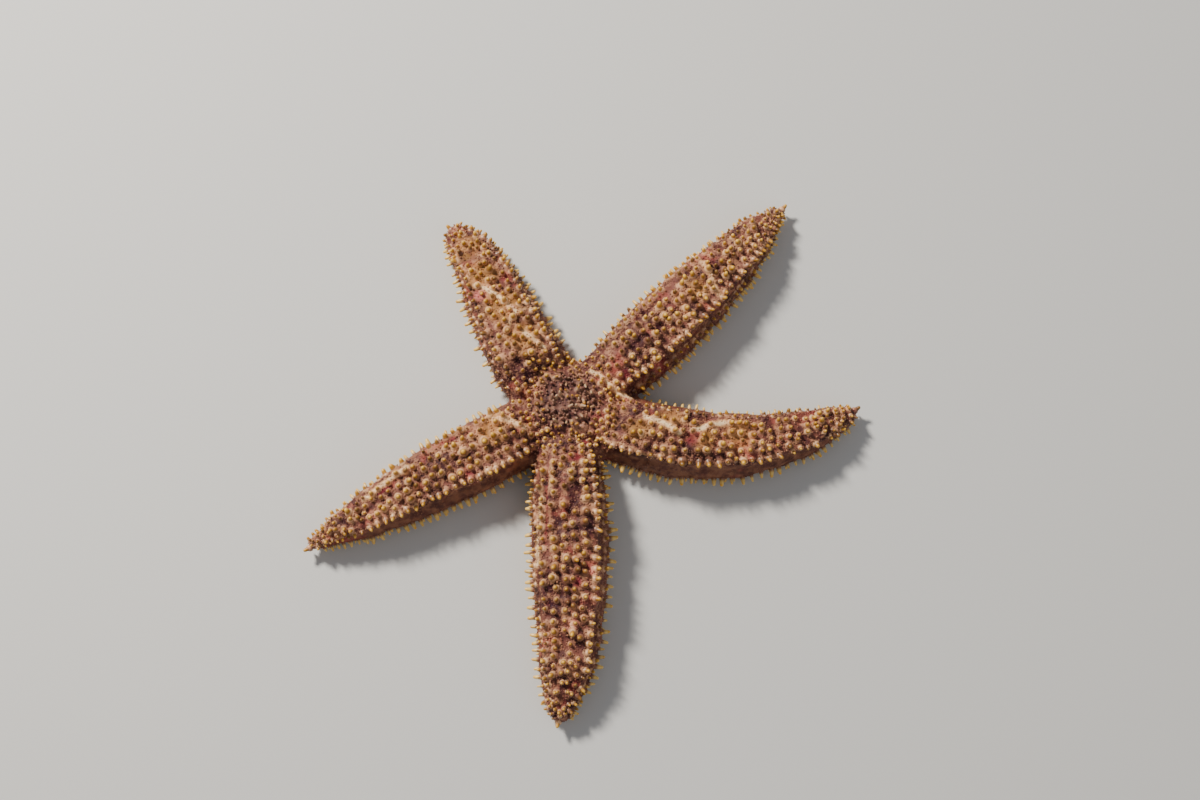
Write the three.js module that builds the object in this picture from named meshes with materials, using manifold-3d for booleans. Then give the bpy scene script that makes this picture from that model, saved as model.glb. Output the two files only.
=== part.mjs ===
// A mottled sea star at life size, lying on a flat floor with its five arms spread.
// Millimetres, +Z up. The origin is on the floor under the middle of the whole animal.
import * as THREE from "three";
import { LoftGeometry } from "three/addons/geometries/LoftGeometry.js";
import { mergeVertices } from "three/addons/utils/BufferGeometryUtils.js";
import Module from "manifold-3d";

const wasm = await Module();
wasm.setup();

// Arms. Lengths run from the middle of the disc. The heading is in degrees, 0 along +X and 90
// along +Y, at the root, with two terms that bend it as t goes from 0 to 1 along the arm.
// Half widths are those of the skin at the root, at the belly and at the wrist.
const arms = {
  upper_left: { length: 111, heading: [141, -100, 95], halfWidth: [18.7, 17.8, 12.8] },
  upper_right: { length: 150, heading: [34.3, 33.4, -22], halfWidth: [15.2, 17.6, 12.1] },
  right: { length: 147.4, heading: [-28, 47, 12], halfWidth: [16.8, 17.4, 12] },
  lower: { length: 153, heading: [270, 14.5, -26], halfWidth: [16.6, 18.6, 13.8] },
  left: { length: 142, heading: [213, -22, 22], halfWidth: [16.8, 17, 10.4] },
};
const widthStations = [0.16, 0.42, 0.8];
const heightPerBelly = 1.52;
const rootDip = 0.2;
const dipEnds = [0.12, 0.32];
const heightTaper = 0.45;
const roundEndStart = 0.8;
const tipShare = { width: 0.24, height: 0.32 };
const tipLift = 2.2;
const liftStart = 0.93;
const centrelineSteps = 400;
const sectionStations = [0.06, 0.16, 0.24, 0.34, 0.48, 0.64, 0.8, 0.89, 0.96, 1];

// Cross section of an arm, in shares of its half width and its height. The dome is a squared
// oval, and the under curve runs out from the ridge that stands on the floor.
const shoulderPower = 0.78;
const widestAt = 0.3;
const domeAngles = [0, 30, 62];
const underCurve = [
  [0.38, 0],
  [0.5, 0.08],
  [0.84, 0.1],
  [0.97, 0.19],
];
const groove = { width: 0.22, height: 0.27, corner: 0.75 };

// Disc, mouth and madreporite
const discCentre = { x: -8.5, y: 24 };
const discRadius = 24.5;
const discHeight = 22;
const discProfile = [
  [0, 0.08],
  [0.84, 0.08],
  [0.98, 0.22],
  [1, 0.5],
  [0.8, 0.84],
  [0.45, 0.97],
  [0, 1],
];
const discFacets = 16;
const mouth = { radius: 6, roofRadius: 4.5, depth: 5, facets: 10 };
const lips = { outer: 4, inner: 1.6, bottom: 2.6, top: 4.6 };
const madreporite = { heading: -58, distance: 16, radius: 2.6, height: 1.6, seat: 20.5 };
const smallFacets = 12;

// Spines stand in rows at angles up the dome of an arm, 0 at its widest and 90 along its back.
// A row on the right side is half a pitch ahead of its twin on the left.
const spineRows = [
  { angle: 90, pitch: 16, from: 28, stick: 3, sides: [1] },
  { angle: 44, pitch: 15, from: 30, stick: 3, sides: [1, -1] },
  { angle: 4, pitch: 9, from: 33, stick: 3.6, sides: [1, -1] },
];
const spineBase = 1.6;
const spineRoot = 1.2;
const spineFacets = 4;
const spinesEnd = 0.97;
const discSpines = { ring: 9, count: 5, lean: 0.17, stick: 2.4 };

// Tube feet stand in pairs along each groove and end on the floor
const footPitch = 20;
const footFrom = 17;
const feetEnd = 0.95;
const footRadius = 0.9;
const suckerRadius = 1.15;
const footFacets = 4;

// The body is parted by thin cuts: one at the root of each arm and two more along it.
// Spines and feet keep a margin from them.
const cutGap = 0.3;
const rootCut = 37;
const cutSpan = 44;
const cutMargin = 0.6;
const lengthNames = ["base", "middle", "tip"];

// Bodies smaller than this, in cubic millimetres, are slivers left where two cut faces meet
const smallestBody = 1;

// Looks
const armColor = 0x9c6b4b;
const discColor = 0x6f5142;
const mouthColor = 0xc89a78;
const madreporiteColor = 0xd9bfa2;
const skinRoughness = 0.6;

// A closed three.js geometry as a solid, and a solid as a three.js geometry
function solidOf(geometry) {
  const bare = new THREE.BufferGeometry();
  bare.setAttribute("position", geometry.attributes.position);
  bare.setIndex(geometry.index);
  const merged = mergeVertices(bare, 1e-4);
  const vertProperties = merged.attributes.position.array;
  const triVerts = new Uint32Array(merged.index.array);
  return new wasm.Manifold(new wasm.Mesh({ numProp: 3, vertProperties, triVerts }));
}

function geometryOf(solid) {
  const { vertProperties, triVerts } = solid.getMesh();
  const geometry = new THREE.BufferGeometry();
  geometry.setAttribute("position", new THREE.BufferAttribute(vertProperties, 3));
  geometry.setIndex(new THREE.BufferAttribute(triVerts, 1));
  geometry.computeVertexNormals();
  return geometry;
}

const join = (solids) => solids.reduce((sum, next) => sum.add(next));

// Centreline of an arm: the place and heading in radians at t
function centrelineOf(arm) {
  const [start, bend, back] = arm.heading;
  const step = arm.length / centrelineSteps;
  const places = [];
  let { x, y } = discCentre;
  for (let i = 0; i <= centrelineSteps; i++) {
    const t = i / centrelineSteps;
    const angle = THREE.MathUtils.degToRad(start + bend * t + back * t * t);
    places.push({ x, y, angle });
    x += step * Math.cos(angle);
    y += step * Math.sin(angle);
  }
  return places;
}

for (const arm of Object.values(arms)) arm.centreline = centrelineOf(arm);

const placeAt = (arm, t) => arm.centreline[Math.round(t * centrelineSteps)];

// A point beside the centreline at t: `side` to the left of the heading, `up` above the floor
function armPoint(arm, t, side, up) {
  const { x, y, angle } = placeAt(arm, t);
  return new THREE.Vector3(x - side * Math.sin(angle), y + side * Math.cos(angle), up);
}

// Sizes along an arm, with a round end that comes down to a share of the full size at the tip
function roundEnd(t, share) {
  const past = Math.max(0, t - roundEndStart) / (1 - roundEndStart);
  return share + (1 - share) * Math.sqrt(1 - past * past);
}

function halfWidthAt(arm, t) {
  const [a, b, c] = widthStations;
  const [root, belly, wrist] = arm.halfWidth;
  const atRoot = (root * (t - b) * (t - c)) / ((a - b) * (a - c));
  const atBelly = (belly * (t - a) * (t - c)) / ((b - a) * (b - c));
  const atWrist = (wrist * (t - a) * (t - b)) / ((c - a) * (c - b));
  return (atRoot + atBelly + atWrist) * roundEnd(t, tipShare.width);
}

function heightAt(arm, t) {
  const belly = heightPerBelly * arm.halfWidth[1];
  const dip = rootDip * (1 - THREE.MathUtils.smoothstep(t, ...dipEnds));
  return belly * (1 - dip) * (1 - heightTaper * t * t) * roundEnd(t, tipShare.height);
}

const liftAt = (t) => tipLift * Math.max(0, (t - liftStart) / (1 - liftStart)) ** 2;

// The dome over an arm at an angle from its widest place to its back
function domePoint(arm, t, degrees) {
  const angle = THREE.MathUtils.degToRad(degrees);
  const height = heightAt(arm, t);
  const side = halfWidthAt(arm, t) * Math.cos(angle) ** shoulderPower;
  const up = height * (widestAt + (1 - widestAt) * Math.sin(angle) ** shoulderPower);
  return { side: degrees === 90 ? 0 : side, up: up + liftAt(t) };
}

function armSection(arm, t) {
  const under = underCurve.map(([across, up]) => ({
    side: across * halfWidthAt(arm, t),
    up: up * heightAt(arm, t) + liftAt(t),
  }));
  const half = [...under, ...domeAngles.map((degrees) => domePoint(arm, t, degrees))];
  const top = domePoint(arm, t, 90);
  const other = half.map(({ side, up }) => ({ side: -side, up })).reverse();
  return [...half, top, ...other].map(({ side, up }) => armPoint(arm, t, side, up));
}

function loft(sections) {
  return solidOf(new LoftGeometry(sections, { closed: true, capStart: true, capEnd: true }));
}

const armBody = (arm) => loft(sectionStations.map((t) => armSection(arm, t)));

const grooveRoof = (arm, t) => groove.height * heightAt(arm, t) + liftAt(t);

// The space of the groove that runs under an arm from the mouth to its tip
function grooveSection(arm, t) {
  const side = groove.width * halfWidthAt(arm, t);
  const roof = grooveRoof(arm, t);
  const outline = [
    [side, -1],
    [groove.corner * side, groove.corner * roof],
    [0, roof],
    [-groove.corner * side, groove.corner * roof],
    [-side, -1],
  ];
  return outline.map(([across, up]) => armPoint(arm, t, across, up));
}

const grooveSpace = (arm) => loft([0, ...sectionStations].map((t) => grooveSection(arm, t)));

// A pointed peg that stands on the skin at `foot` along `direction`
function spine(foot, direction, stick) {
  const peg = new THREE.ConeGeometry(spineBase, stick + spineRoot, spineFacets);
  peg.translate(0, (stick - spineRoot) / 2, 0);
  peg.applyQuaternion(new THREE.Quaternion().setFromUnitVectors(new THREE.Vector3(0, 1, 0), direction));
  peg.translate(foot.x, foot.y, foot.z);
  return solidOf(peg);
}

const cutsOf = (arm) => [0, 1, 2].map((i) => rootCut + (i * (arm.length - rootCut)) / 3);

const clearOfCuts = (arm, along, radius) =>
  cutsOf(arm).every((cut) => Math.abs(along - cut) > radius + cutMargin);

function rowSpine(arm, row, side, along) {
  const t = along / arm.length;
  const at = domePoint(arm, t, row.angle);
  const lean = THREE.MathUtils.degToRad(row.angle);
  const foot = armPoint(arm, t, side * at.side, at.up);
  const ahead = armPoint(arm, t, side * (at.side + Math.cos(lean)), at.up + Math.sin(lean));
  return spine(foot, ahead.sub(foot).normalize(), row.stick * roundEnd(t, 0.5));
}

function armSpines(arm) {
  const spines = [];
  for (const row of spineRows) {
    for (const side of row.sides) {
      const start = row.from + (side < 0 ? row.pitch / 2 : 0);
      for (let along = start; along < spinesEnd * arm.length; along += row.pitch) {
        if (clearOfCuts(arm, along, spineBase)) spines.push(rowSpine(arm, row, side, along));
      }
    }
  }
  return spines;
}

function tubeFoot(arm, t, side) {
  const length = 0.9 * grooveRoof(arm, t);
  const foot = new THREE.CylinderGeometry(footRadius, suckerRadius, length, footFacets);
  foot.rotateX(Math.PI / 2);
  const across = (side * groove.width * halfWidthAt(arm, t)) / 2;
  const { x, y, z } = armPoint(arm, t, across, length / 2);
  foot.translate(x, y, z);
  return solidOf(foot);
}

function tubeFeet(arm) {
  const feet = [];
  for (let along = footFrom; along < feetEnd * arm.length; along += footPitch) {
    if (!clearOfCuts(arm, along, suckerRadius)) continue;
    feet.push(tubeFoot(arm, along / arm.length, 1), tubeFoot(arm, along / arm.length, -1));
  }
  return feet;
}

// A turned piece of [radius, height] points, upright over a place
function turned(points, facets, at) {
  const lathe = new THREE.LatheGeometry(points.map(([radius, up]) => new THREE.Vector2(radius, up)), facets);
  lathe.rotateX(Math.PI / 2);
  lathe.translate(at.x, at.y, at.z ?? 0);
  return solidOf(lathe);
}

// The disc: a low dome over the arm roots
function discDome() {
  const points = discProfile.map(([across, up]) => [across * discRadius, up * discHeight]);
  return turned(points, discFacets, discCentre);
}

function discSpineRing() {
  return Array.from({ length: discSpines.count }, (_, i) => {
    const angle = (2 * Math.PI * i) / discSpines.count;
    const outward = new THREE.Vector3(Math.cos(angle), Math.sin(angle), 0);
    const middle = new THREE.Vector3(discCentre.x, discCentre.y, discProfile[5][1] * discHeight);
    const foot = outward.clone().multiplyScalar(discSpines.ring).add(middle);
    const direction = new THREE.Vector3(0, 0, 1).addScaledVector(outward, discSpines.lean).normalize();
    return spine(foot, direction, discSpines.stick);
  });
}

function mouthCavity() {
  const { radius, roofRadius, depth, facets } = mouth;
  return turned([[0, -1], [radius, -1], [roofRadius, depth], [0, depth]], facets, discCentre);
}

// A thin slab across an arm, as wide as the arm with its spines
function cutSlab(arm, along) {
  const { x, y, angle } = placeAt(arm, along / arm.length);
  const slab = new THREE.BoxGeometry(cutGap, cutSpan, 80);
  slab.rotateZ(angle);
  slab.translate(x, y, 0);
  return solidOf(slab);
}

function madreporiteCentre() {
  const angle = THREE.MathUtils.degToRad(madreporite.heading);
  const x = discCentre.x + madreporite.distance * Math.cos(angle);
  const y = discCentre.y + madreporite.distance * Math.sin(angle);
  return new THREE.Vector3(x, y, madreporite.seat);
}

// The button, or with a gap round it the seat that it sits in
function madreporiteButton(gap) {
  const { radius, height } = madreporite;
  const bottom = -height - gap;
  const points = [
    [0, bottom],
    [radius + gap, bottom],
    [radius + gap, 0.2 * height],
    [0.7 * radius + gap, height + gap],
    [0, height + gap],
  ];
  return turned(points, smallFacets, madreporiteCentre());
}

// The soft ring round the mouth, inside the cavity
function mouthRing() {
  const { outer, inner, bottom, top } = lips;
  const points = [
    [inner, (bottom + top) / 2],
    [(inner + outer) / 2, bottom],
    [outer, bottom],
    [outer, top],
    [inner, top],
    [inner, (bottom + top) / 2],
  ];
  return turned(points, smallFacets, discCentre);
}

// The whole body, then its parting into disc and arm lengths
function wholeBody() {
  const all = Object.values(arms);
  const flesh = join([discDome(), ...all.map(armBody)]);
  const hollow = join([mouthCavity(), ...all.map(grooveSpace)]);
  const pegs = join([...all.flatMap(armSpines), ...discSpineRing()]);
  const feet = join(all.flatMap(tubeFeet));
  return flesh.subtract(hollow).add(pegs).add(feet).subtract(madreporiteButton(cutGap));
}

// Where the middle of each named piece lies
function pieceMiddles() {
  const middles = [{ name: "disc", color: discColor, x: discCentre.x, y: discCentre.y }];
  for (const [armName, arm] of Object.entries(arms)) {
    const cuts = [...cutsOf(arm), arm.length];
    lengthNames.forEach((lengthName, i) => {
      const { x, y } = placeAt(arm, (cuts[i] + cuts[i + 1]) / 2 / arm.length);
      middles.push({ name: `arm_${armName}_${lengthName}`, color: armColor, x, y });
    });
  }
  return middles;
}

function nearestPiece(solid, middles) {
  const { min, max } = solid.boundingBox();
  const distance = ({ x, y }) => Math.hypot((min[0] + max[0]) / 2 - x, (min[1] + max[1]) / 2 - y);
  return middles.reduce((best, next) => (distance(next) < distance(best) ? next : best));
}

function meshOf(name, color, solid) {
  const material = new THREE.MeshStandardMaterial({ color, roughness: skinRoughness, metalness: 0 });
  const mesh = new THREE.Mesh(geometryOf(solid), material);
  mesh.name = name;
  return mesh;
}

const star = new THREE.Group();
const slabs = Object.values(arms).flatMap((arm) => cutsOf(arm).map((cut) => cutSlab(arm, cut)));
const parted = wholeBody().subtract(join(slabs));
const middles = pieceMiddles();
for (const body of parted.decompose()) {
  if (body.volume() < smallestBody) continue;
  const { name, color } = nearestPiece(body, middles);
  star.add(meshOf(name, color, body));
}
star.add(meshOf("mouth", mouthColor, mouthRing()));
star.add(meshOf("madreporite", madreporiteColor, madreporiteButton(0)));

export default star;
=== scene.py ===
import math
import random

import bmesh
import bpy
import numpy as np
from mathutils import Matrix, Quaternion, Vector, noise
from mathutils.bvhtree import BVHTree
from mathutils.kdtree import KDTree


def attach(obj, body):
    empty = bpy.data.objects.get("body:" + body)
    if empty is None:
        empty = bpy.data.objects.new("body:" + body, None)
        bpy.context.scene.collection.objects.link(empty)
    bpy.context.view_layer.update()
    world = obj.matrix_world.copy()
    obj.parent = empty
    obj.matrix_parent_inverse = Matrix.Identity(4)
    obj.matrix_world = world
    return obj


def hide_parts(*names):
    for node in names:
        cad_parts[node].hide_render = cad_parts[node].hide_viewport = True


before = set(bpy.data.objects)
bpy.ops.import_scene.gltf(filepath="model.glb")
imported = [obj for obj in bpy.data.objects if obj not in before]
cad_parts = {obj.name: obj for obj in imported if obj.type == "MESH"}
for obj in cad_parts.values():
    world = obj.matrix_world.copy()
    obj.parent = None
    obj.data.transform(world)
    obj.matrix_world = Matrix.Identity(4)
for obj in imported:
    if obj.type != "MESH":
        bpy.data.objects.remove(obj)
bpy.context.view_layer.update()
mm = 0.001

# The pose: each arm's length from the disc centre, its heading in degrees at the root with
# two terms that bend it, and its half width at root, belly and wrist. Lengths are in mm.
# farSpines is the size of the spines on the left of the heading. On a spinyBand the sides of
# the arm have spines and markings too, where the others are bare.
star = {
    "discCentre": (-8.5, 24.0),
    "discRadius": 24.5,
    "discHeight": 22.0,
    "arms": {
        "upperLeft": {
            "length": 111,
            "heading": (141, -100, 95),
            "halfWidth": (18.7, 17.8, 12.8),
            "farSpines": 1,
            "spinyBand": True,
        },
        "upperRight": {
            "length": 150,
            "heading": (34.3, 33.4, -22),
            "halfWidth": (15.2, 17.6, 12.1),
            "farSpines": 0.82,
            "spinyBand": True,
        },
        "right": {
            "length": 147.4,
            "heading": (-28, 47, 12),
            "halfWidth": (16.8, 17.4, 12),
            "farSpines": 0.7,
            "spinyBand": False,
        },
        "lower": {
            "length": 153,
            "heading": (270, 14.5, -26),
            "halfWidth": (16.6, 18.6, 13.8),
            "farSpines": 1,
            "spinyBand": True,
        },
        "left": {
            "length": 142,
            "heading": (213, -22, 22),
            "halfWidth": (16.8, 17, 10.4),
            "farSpines": 1,
            "spinyBand": False,
        },
    },
    "widthAt": (0.16, 0.42, 0.8),
    "heightPerBelly": 1.52,
    "rootDip": 0.2,
    "dipEnds": (0.12, 0.32),
    "heightTaper": 0.45,
    "roundEndStart": 0.8,
    "tipWidth": 0.24,
    "tipHeight": 0.32,
    "tipLift": 2.2,
    "liftStart": 0.93,
    "shoulderPower": 0.78,
    "widestAt": 0.3,
    "underCurve": ((0, 0), (0.38, 0), (0.5, 0.07), (0.7, 0.09), (0.84, 0.11), (0.93, 0.15), (0.98, 0.21)),
    "skinInset": 0.4,
    "clearance": 2.3,
}
centre = Vector((star["discCentre"][0], star["discCentre"][1], 0)) * mm
arms = list(star["arms"].values())
lineSteps = 400


def smoothStep(low, high, value):
    share = min(1.0, max(0.0, (value - low) / (high - low)))
    return share * share * (3 - 2 * share)


# A bump that is 1 in its middle and fades to both sides over its width
def bell(away, width):
    return np.exp(-((away / width) ** 2))


# The places along an arm's middle, each with the heading there
def walkCentreline(arm):
    start, bend, back = arm["heading"]
    x, y = star["discCentre"]
    step = arm["length"] / lineSteps
    line = []
    for i in range(lineSteps + 1):
        t = i / lineSteps
        angle = math.radians(start + bend * t + back * t * t)
        line.append((x, y, angle))
        x += step * math.cos(angle)
        y += step * math.sin(angle)
    return line


for arm in arms:
    arm["line"] = walkCentreline(arm)


def roundEnd(t, share):
    past = max(0.0, t - star["roundEndStart"]) / (1 - star["roundEndStart"])
    return share + (1 - share) * math.sqrt(max(0.0, 1 - past * past))


# A smooth curve through the half widths at root, belly and wrist
def halfWidth(arm, t):
    a, b, c = star["widthAt"]
    root, belly, wrist = arm["halfWidth"]
    width = root * (t - b) * (t - c) / ((a - b) * (a - c))
    width += belly * (t - a) * (t - c) / ((b - a) * (b - c))
    width += wrist * (t - a) * (t - b) / ((c - a) * (c - b))
    return width * roundEnd(t, star["tipWidth"])


def armHeight(arm, t):
    belly = star["heightPerBelly"] * arm["halfWidth"][1]
    dip = star["rootDip"] * (1 - smoothStep(*star["dipEnds"], t))
    return belly * (1 - dip) * (1 - star["heightTaper"] * t * t) * roundEnd(t, star["tipHeight"])


def tipLift(t):
    return star["tipLift"] * max(0.0, (t - star["liftStart"]) / (1 - star["liftStart"])) ** 2


# A point in metres: side to the left of the heading and up from the floor, in mm
def armPoint(arm, t, side, up):
    x, y, angle = arm["line"][round(min(1.0, max(0.0, t)) * lineSteps)]
    return Vector((x - side * math.sin(angle), y + side * math.cos(angle), up)) * mm


# The dome of an arm: degrees run from 0 at its widest to 90 along its back
def domePoint(arm, t, degrees):
    angle = math.radians(degrees)
    height = armHeight(arm, t)
    side = halfWidth(arm, t) * abs(math.cos(angle)) ** star["shoulderPower"]
    rise = math.sin(angle) ** star["shoulderPower"]
    up = height * (star["widestAt"] + (1 - star["widestAt"]) * rise)
    return side, up + tipLift(t)


# The flat underside as (side, up), from its middle outwards. It stands clear of the floor on its
# short spines and tube feet.
def underPoints(arm, t):
    width, height, lift = halfWidth(arm, t), armHeight(arm, t), tipLift(t)
    return [(side * width, max(up * height, star["clearance"]) + lift) for side, up in star["underCurve"]]


# Half of the cross section as (side, up), from the middle of the underside round to the back
def halfSection(arm, t):
    return underPoints(arm, t) + [domePoint(arm, t, degrees) for degrees in range(0, 91, 6)]


def pointAlong(points, share):
    steps = [math.dist(a, b) for a, b in zip(points, points[1:])]
    left = share * sum(steps)
    for (a, b), step in zip(zip(points, points[1:]), steps):
        if left <= step:
            return [p + (q - p) * left / step for p, q in zip(a, b)]
        left -= step
    return list(points[-1])


print("pose ready")

# The skin's mesh and forms, in mm. A crest is a raised ridge that also carries a painted highlight.
# A crest or red line is its strength, its half width and its bends, as (right, up) from the disc
# centre. A lump is its size and its height.
skin = {
    "around": 64,
    "along": 120,
    "armStart": 0.03,
    "poleLevel": 0.4,
    "discAround": 48,
    "discRings": 24,
    "discPower": 2.6,
    "discWaist": 0.45,
    "discFall": 0.37,
    "firstVoxel": 1.1,
    "voxel": 0.89,
    "smoothing": 6,
    "underFacing": -0.3,
    "underTop": 7,
    "grooveWidth": 0.22,
    "grooveSpread": 1.15,
    "grooveHeight": 0.27,
    "mouthRadius": 6,
    "mouthDepth": 5,
    "lumps": ((15, 1.1), (6.5, 0.75), (2.6, 0.3)),
    "creases": {
        "upperLeft": {"distance": 19, "depth": 1.9},
        "upperRight": {"distance": 22.5, "depth": 2.6},
        "right": {"distance": 27, "depth": 1.3},
        "lower": {"distance": 17, "depth": 1.2},
        "left": {"distance": 22, "depth": 1.6},
    },
    "creaseWidth": 3.2,
    "creaseDegrees": 26,
    "creaseOverSide": 0.4,
    "shoulderAt": 56,
    "shoulderRise": 0.9,
    "shoulderSpread": 9,
    "bandAt": 27,
    "bandDepth": 1.5,
    "bandSpread": 15,
    "bandTop": (48, 38),
    "spinyBandShare": 0.25,
    "fadeIn": {"start": 0.12, "length": 0.12},
    "fadeOut": {"end": 0.97, "length": 0.2},
    "crests": (
        (1, 2.2, ((-45, 58), (-39, 55.5), (-34, 52), (-28, 46.5), (-25, 44))),
        (0.7, 1.7, ((-26, 43), (-28, 37), (-30, 31))),
        (0.6, 2.2, ((-25, 44.5), (-17, 46.5))),
        (0.9, 1.8, ((-21, 33), (-15, 29), (-11, 25.5))),
        (1, 1.8, ((12, 15), (17, 12), (21, 8), (25, 4.5), (31, 2))),
        (1, 1.9, ((38, -9), (44, -11), (49, -13.5), (54, -17))),
        (1, 2.0, ((62, -15.5), (67, -13.5), (76, -11.5))),
        (0.6, 1.5, ((18, -20), (26, -21.5), (33, -25), (40, -28.5), (50, -26))),
        (0.55, 1.6, ((-12, -32), (-12, -50))),
        (0.95, 1.7, ((-12, -50), (-13, -62), (-14, -80))),
        (0.6, 1.7, ((-7, -31), (-7.5, -45))),
        (0.9, 2.4, ((-20, -14), (-28, -10), (-34, -9.5), (-39, -8))),
        (0.6, 1.8, ((-47, -14), (-54, -16), (-61, -18.5))),
        (0.9, 2.0, ((-76, -33), (-83, -38), (-90, -43), (-96, -48))),
        (0.8, 1.8, ((66, 70), (71, 62), (74, 53))),
        (0.7, 2.2, ((2.4, -106), (3, -109))),
    ),
    "crestRise": 1.3,
    "redLines": (
        (1, 1.6, ((-69, -26), (-61, -22), (-54, -19))),
        (1, 1.8, ((-89, -45), (-84, -42))),
        (0.9, 1.6, ((14, 12), (18, 8.5), (22, 5.5))),
        (0.8, 1.8, ((56, -20), (60, -20.5), (63, -18.5))),
        (0.7, 1.8, ((-47, 54), (-40, 51), (-36, 47.5))),
        (0.7, 1.6, ((-9, -33), (-9, -60), (-10, -74))),
    ),
    "lineFacing": 0.15,
    "lineFade": 0.3,
}


def linkPiece(name, mesh):
    mesh.shade_smooth()
    piece = bpy.data.objects.new(name, mesh)
    bpy.context.collection.objects.link(piece)
    return piece


def finishMesh(bm, name):
    mesh = bpy.data.meshes.new(name)
    bm.to_mesh(mesh)
    bm.free()
    return linkPiece(name, mesh)


# An arm as a ball whose rings of latitude become cross sections along the centreline
def addArm(bm, arm):
    ball = bmesh.ops.create_uvsphere(bm, u_segments=skin["around"], v_segments=skin["along"], radius=1)
    for vert in ball["verts"]:
        share = math.acos(max(-1.0, min(1.0, vert.co.z))) / math.pi
        t = skin["armStart"] + (1 - skin["armStart"]) * share
        turn = (math.atan2(vert.co.y, vert.co.x) / math.pi + 1) / 2
        isPole = abs(vert.co.z) > 0.99999
        if isPole:
            side, up = 0, armHeight(arm, share) * skin["poleLevel"] + tipLift(share)
        else:
            side, up = pointAlong(halfSection(arm, t), 1 - abs(2 * turn - 1))
        sign = 1 if turn < 0.5 else -1
        vert.co = armPoint(arm, t, sign * side, up)


# The disc as a ball too, with its upper and lower halves drawn up and down from its waist
def addDisc(bm):
    around, rings = skin["discAround"], skin["discRings"]
    ball = bmesh.ops.create_uvsphere(bm, u_segments=around, v_segments=rings, radius=1)
    radius, height = star["discRadius"] * mm, star["discHeight"] * mm
    for vert in ball["verts"]:
        flat = vert.co.xy.length
        rise = (1 - flat ** skin["discPower"]) ** 0.5 if flat < 1 else 0
        reach = 1 - skin["discWaist"] if vert.co.z > 0 else -skin["discFall"]
        level = skin["discWaist"] + reach * rise
        vert.co = centre + Vector((vert.co.x * radius, vert.co.y * radius, level * height))


def applyModifiers(piece):
    graph = bpy.context.evaluated_depsgraph_get()
    shaped = bpy.data.meshes.new_from_object(piece.evaluated_get(graph))
    old = piece.data
    piece.modifiers.clear()
    piece.data = shaped
    bpy.data.meshes.remove(old)


def remeshSkin(piece, voxel):
    remesh = piece.modifiers.new("remesh", "REMESH")
    remesh.mode = "VOXEL"
    remesh.voxel_size = voxel * mm
    remesh.use_smooth_shade = True
    applyModifiers(piece)


def vertexValues(mesh, key):
    values = np.empty(len(mesh.vertices) * 3, dtype=np.float32)
    mesh.vertices.foreach_get(key, values)
    return values.reshape(-1, 3)


def meshPoints(mesh):
    return vertexValues(mesh, "co").astype(np.float64)


def meshNormals(mesh):
    return vertexValues(mesh, "normal")


def setPoints(mesh, points):
    mesh.vertices.foreach_set("co", points.astype(np.float32).ravel())
    mesh.update()


# Where points lie on the arms: the nearest arm, the share along it, and the side in mm
def armCoordinates(points):
    best = np.full(len(points), 1e9)
    which = np.zeros(len(points), dtype=int)
    share = np.zeros(len(points))
    side = np.zeros(len(points))
    for index, arm in enumerate(arms):
        line = np.array(arm["line"])[::5]
        offset = points[:, None, :2] / mm - line[None, :, :2]
        gap = np.hypot(offset[..., 0], offset[..., 1])
        nearest = gap.argmin(axis=1)
        row = np.arange(len(points))
        angle = line[nearest, 2]
        across = offset[row, nearest, 1] * np.cos(angle) - offset[row, nearest, 0] * np.sin(angle)
        closer = gap[row, nearest] < best
        best[closer] = gap[row, nearest][closer]
        which[closer] = index
        share[closer] = nearest[closer] / (len(line) - 1)
        side[closer] = across[closer]
    return which, share, side


# How far points are from the disc centre, right and up, in mm
def fromDisc(points):
    return points[:, :2] / mm - np.array(star["discCentre"])


# The grooves under the arms and the mouth are pushed up into the flat underside
def carveUnderside(piece):
    points = meshPoints(piece.data)
    isLow = points[:, 2] < skin["underTop"] * mm
    facingDown = (meshNormals(piece.data)[:, 2] < skin["underFacing"]) & isLow
    which, share, side = armCoordinates(points)
    roof = np.zeros(len(points))
    for i in np.nonzero(facingDown)[0]:
        arm = arms[which[i]]
        reach = skin["grooveWidth"] * halfWidth(arm, share[i])
        inside = 1 - (side[i] / (skin["grooveSpread"] * reach)) ** 4
        if inside > 0:
            roof[i] = skin["grooveHeight"] * armHeight(arm, share[i]) * inside ** 0.5
    fromMouth = np.hypot(points[:, 0] - centre.x, points[:, 1] - centre.y) / mm
    inMouth = facingDown & (fromMouth < skin["mouthRadius"])
    roof[inMouth] = np.maximum(roof[inMouth], skin["mouthDepth"])
    points[:, 2] += roof * mm
    setPoints(piece.data, points)


def smoothPoints(piece, times):
    everyWay = {"use_axis_x": True, "use_axis_y": True, "use_axis_z": True}
    bm = bmesh.new()
    bm.from_mesh(piece.data)
    for _ in range(times):
        bmesh.ops.smooth_vert(bm, verts=bm.verts, factor=0.5, **everyWay)
    bm.to_mesh(piece.data)
    bm.free()


# The furrow round the disc where the swollen arms begin, at each arm's own distance and depth
def creaseDepth(points):
    offset = fromDisc(points)
    reach = np.hypot(offset[:, 0], offset[:, 1])
    bearing = np.arctan2(offset[:, 1], offset[:, 0])
    weights, distance, depth = 0, 0, 0
    for name, crease in skin["creases"].items():
        apart = bearing - math.radians(star["arms"][name]["heading"][0])
        apart = np.arctan2(np.sin(apart), np.cos(apart))
        weight = bell(apart, math.radians(skin["creaseDegrees"])) + 1e-6
        weights = weights + weight
        distance = distance + weight * crease["distance"]
        depth = depth + weight * crease["depth"]
    return depth / weights * bell(reach - distance / weights, skin["creaseWidth"])


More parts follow.
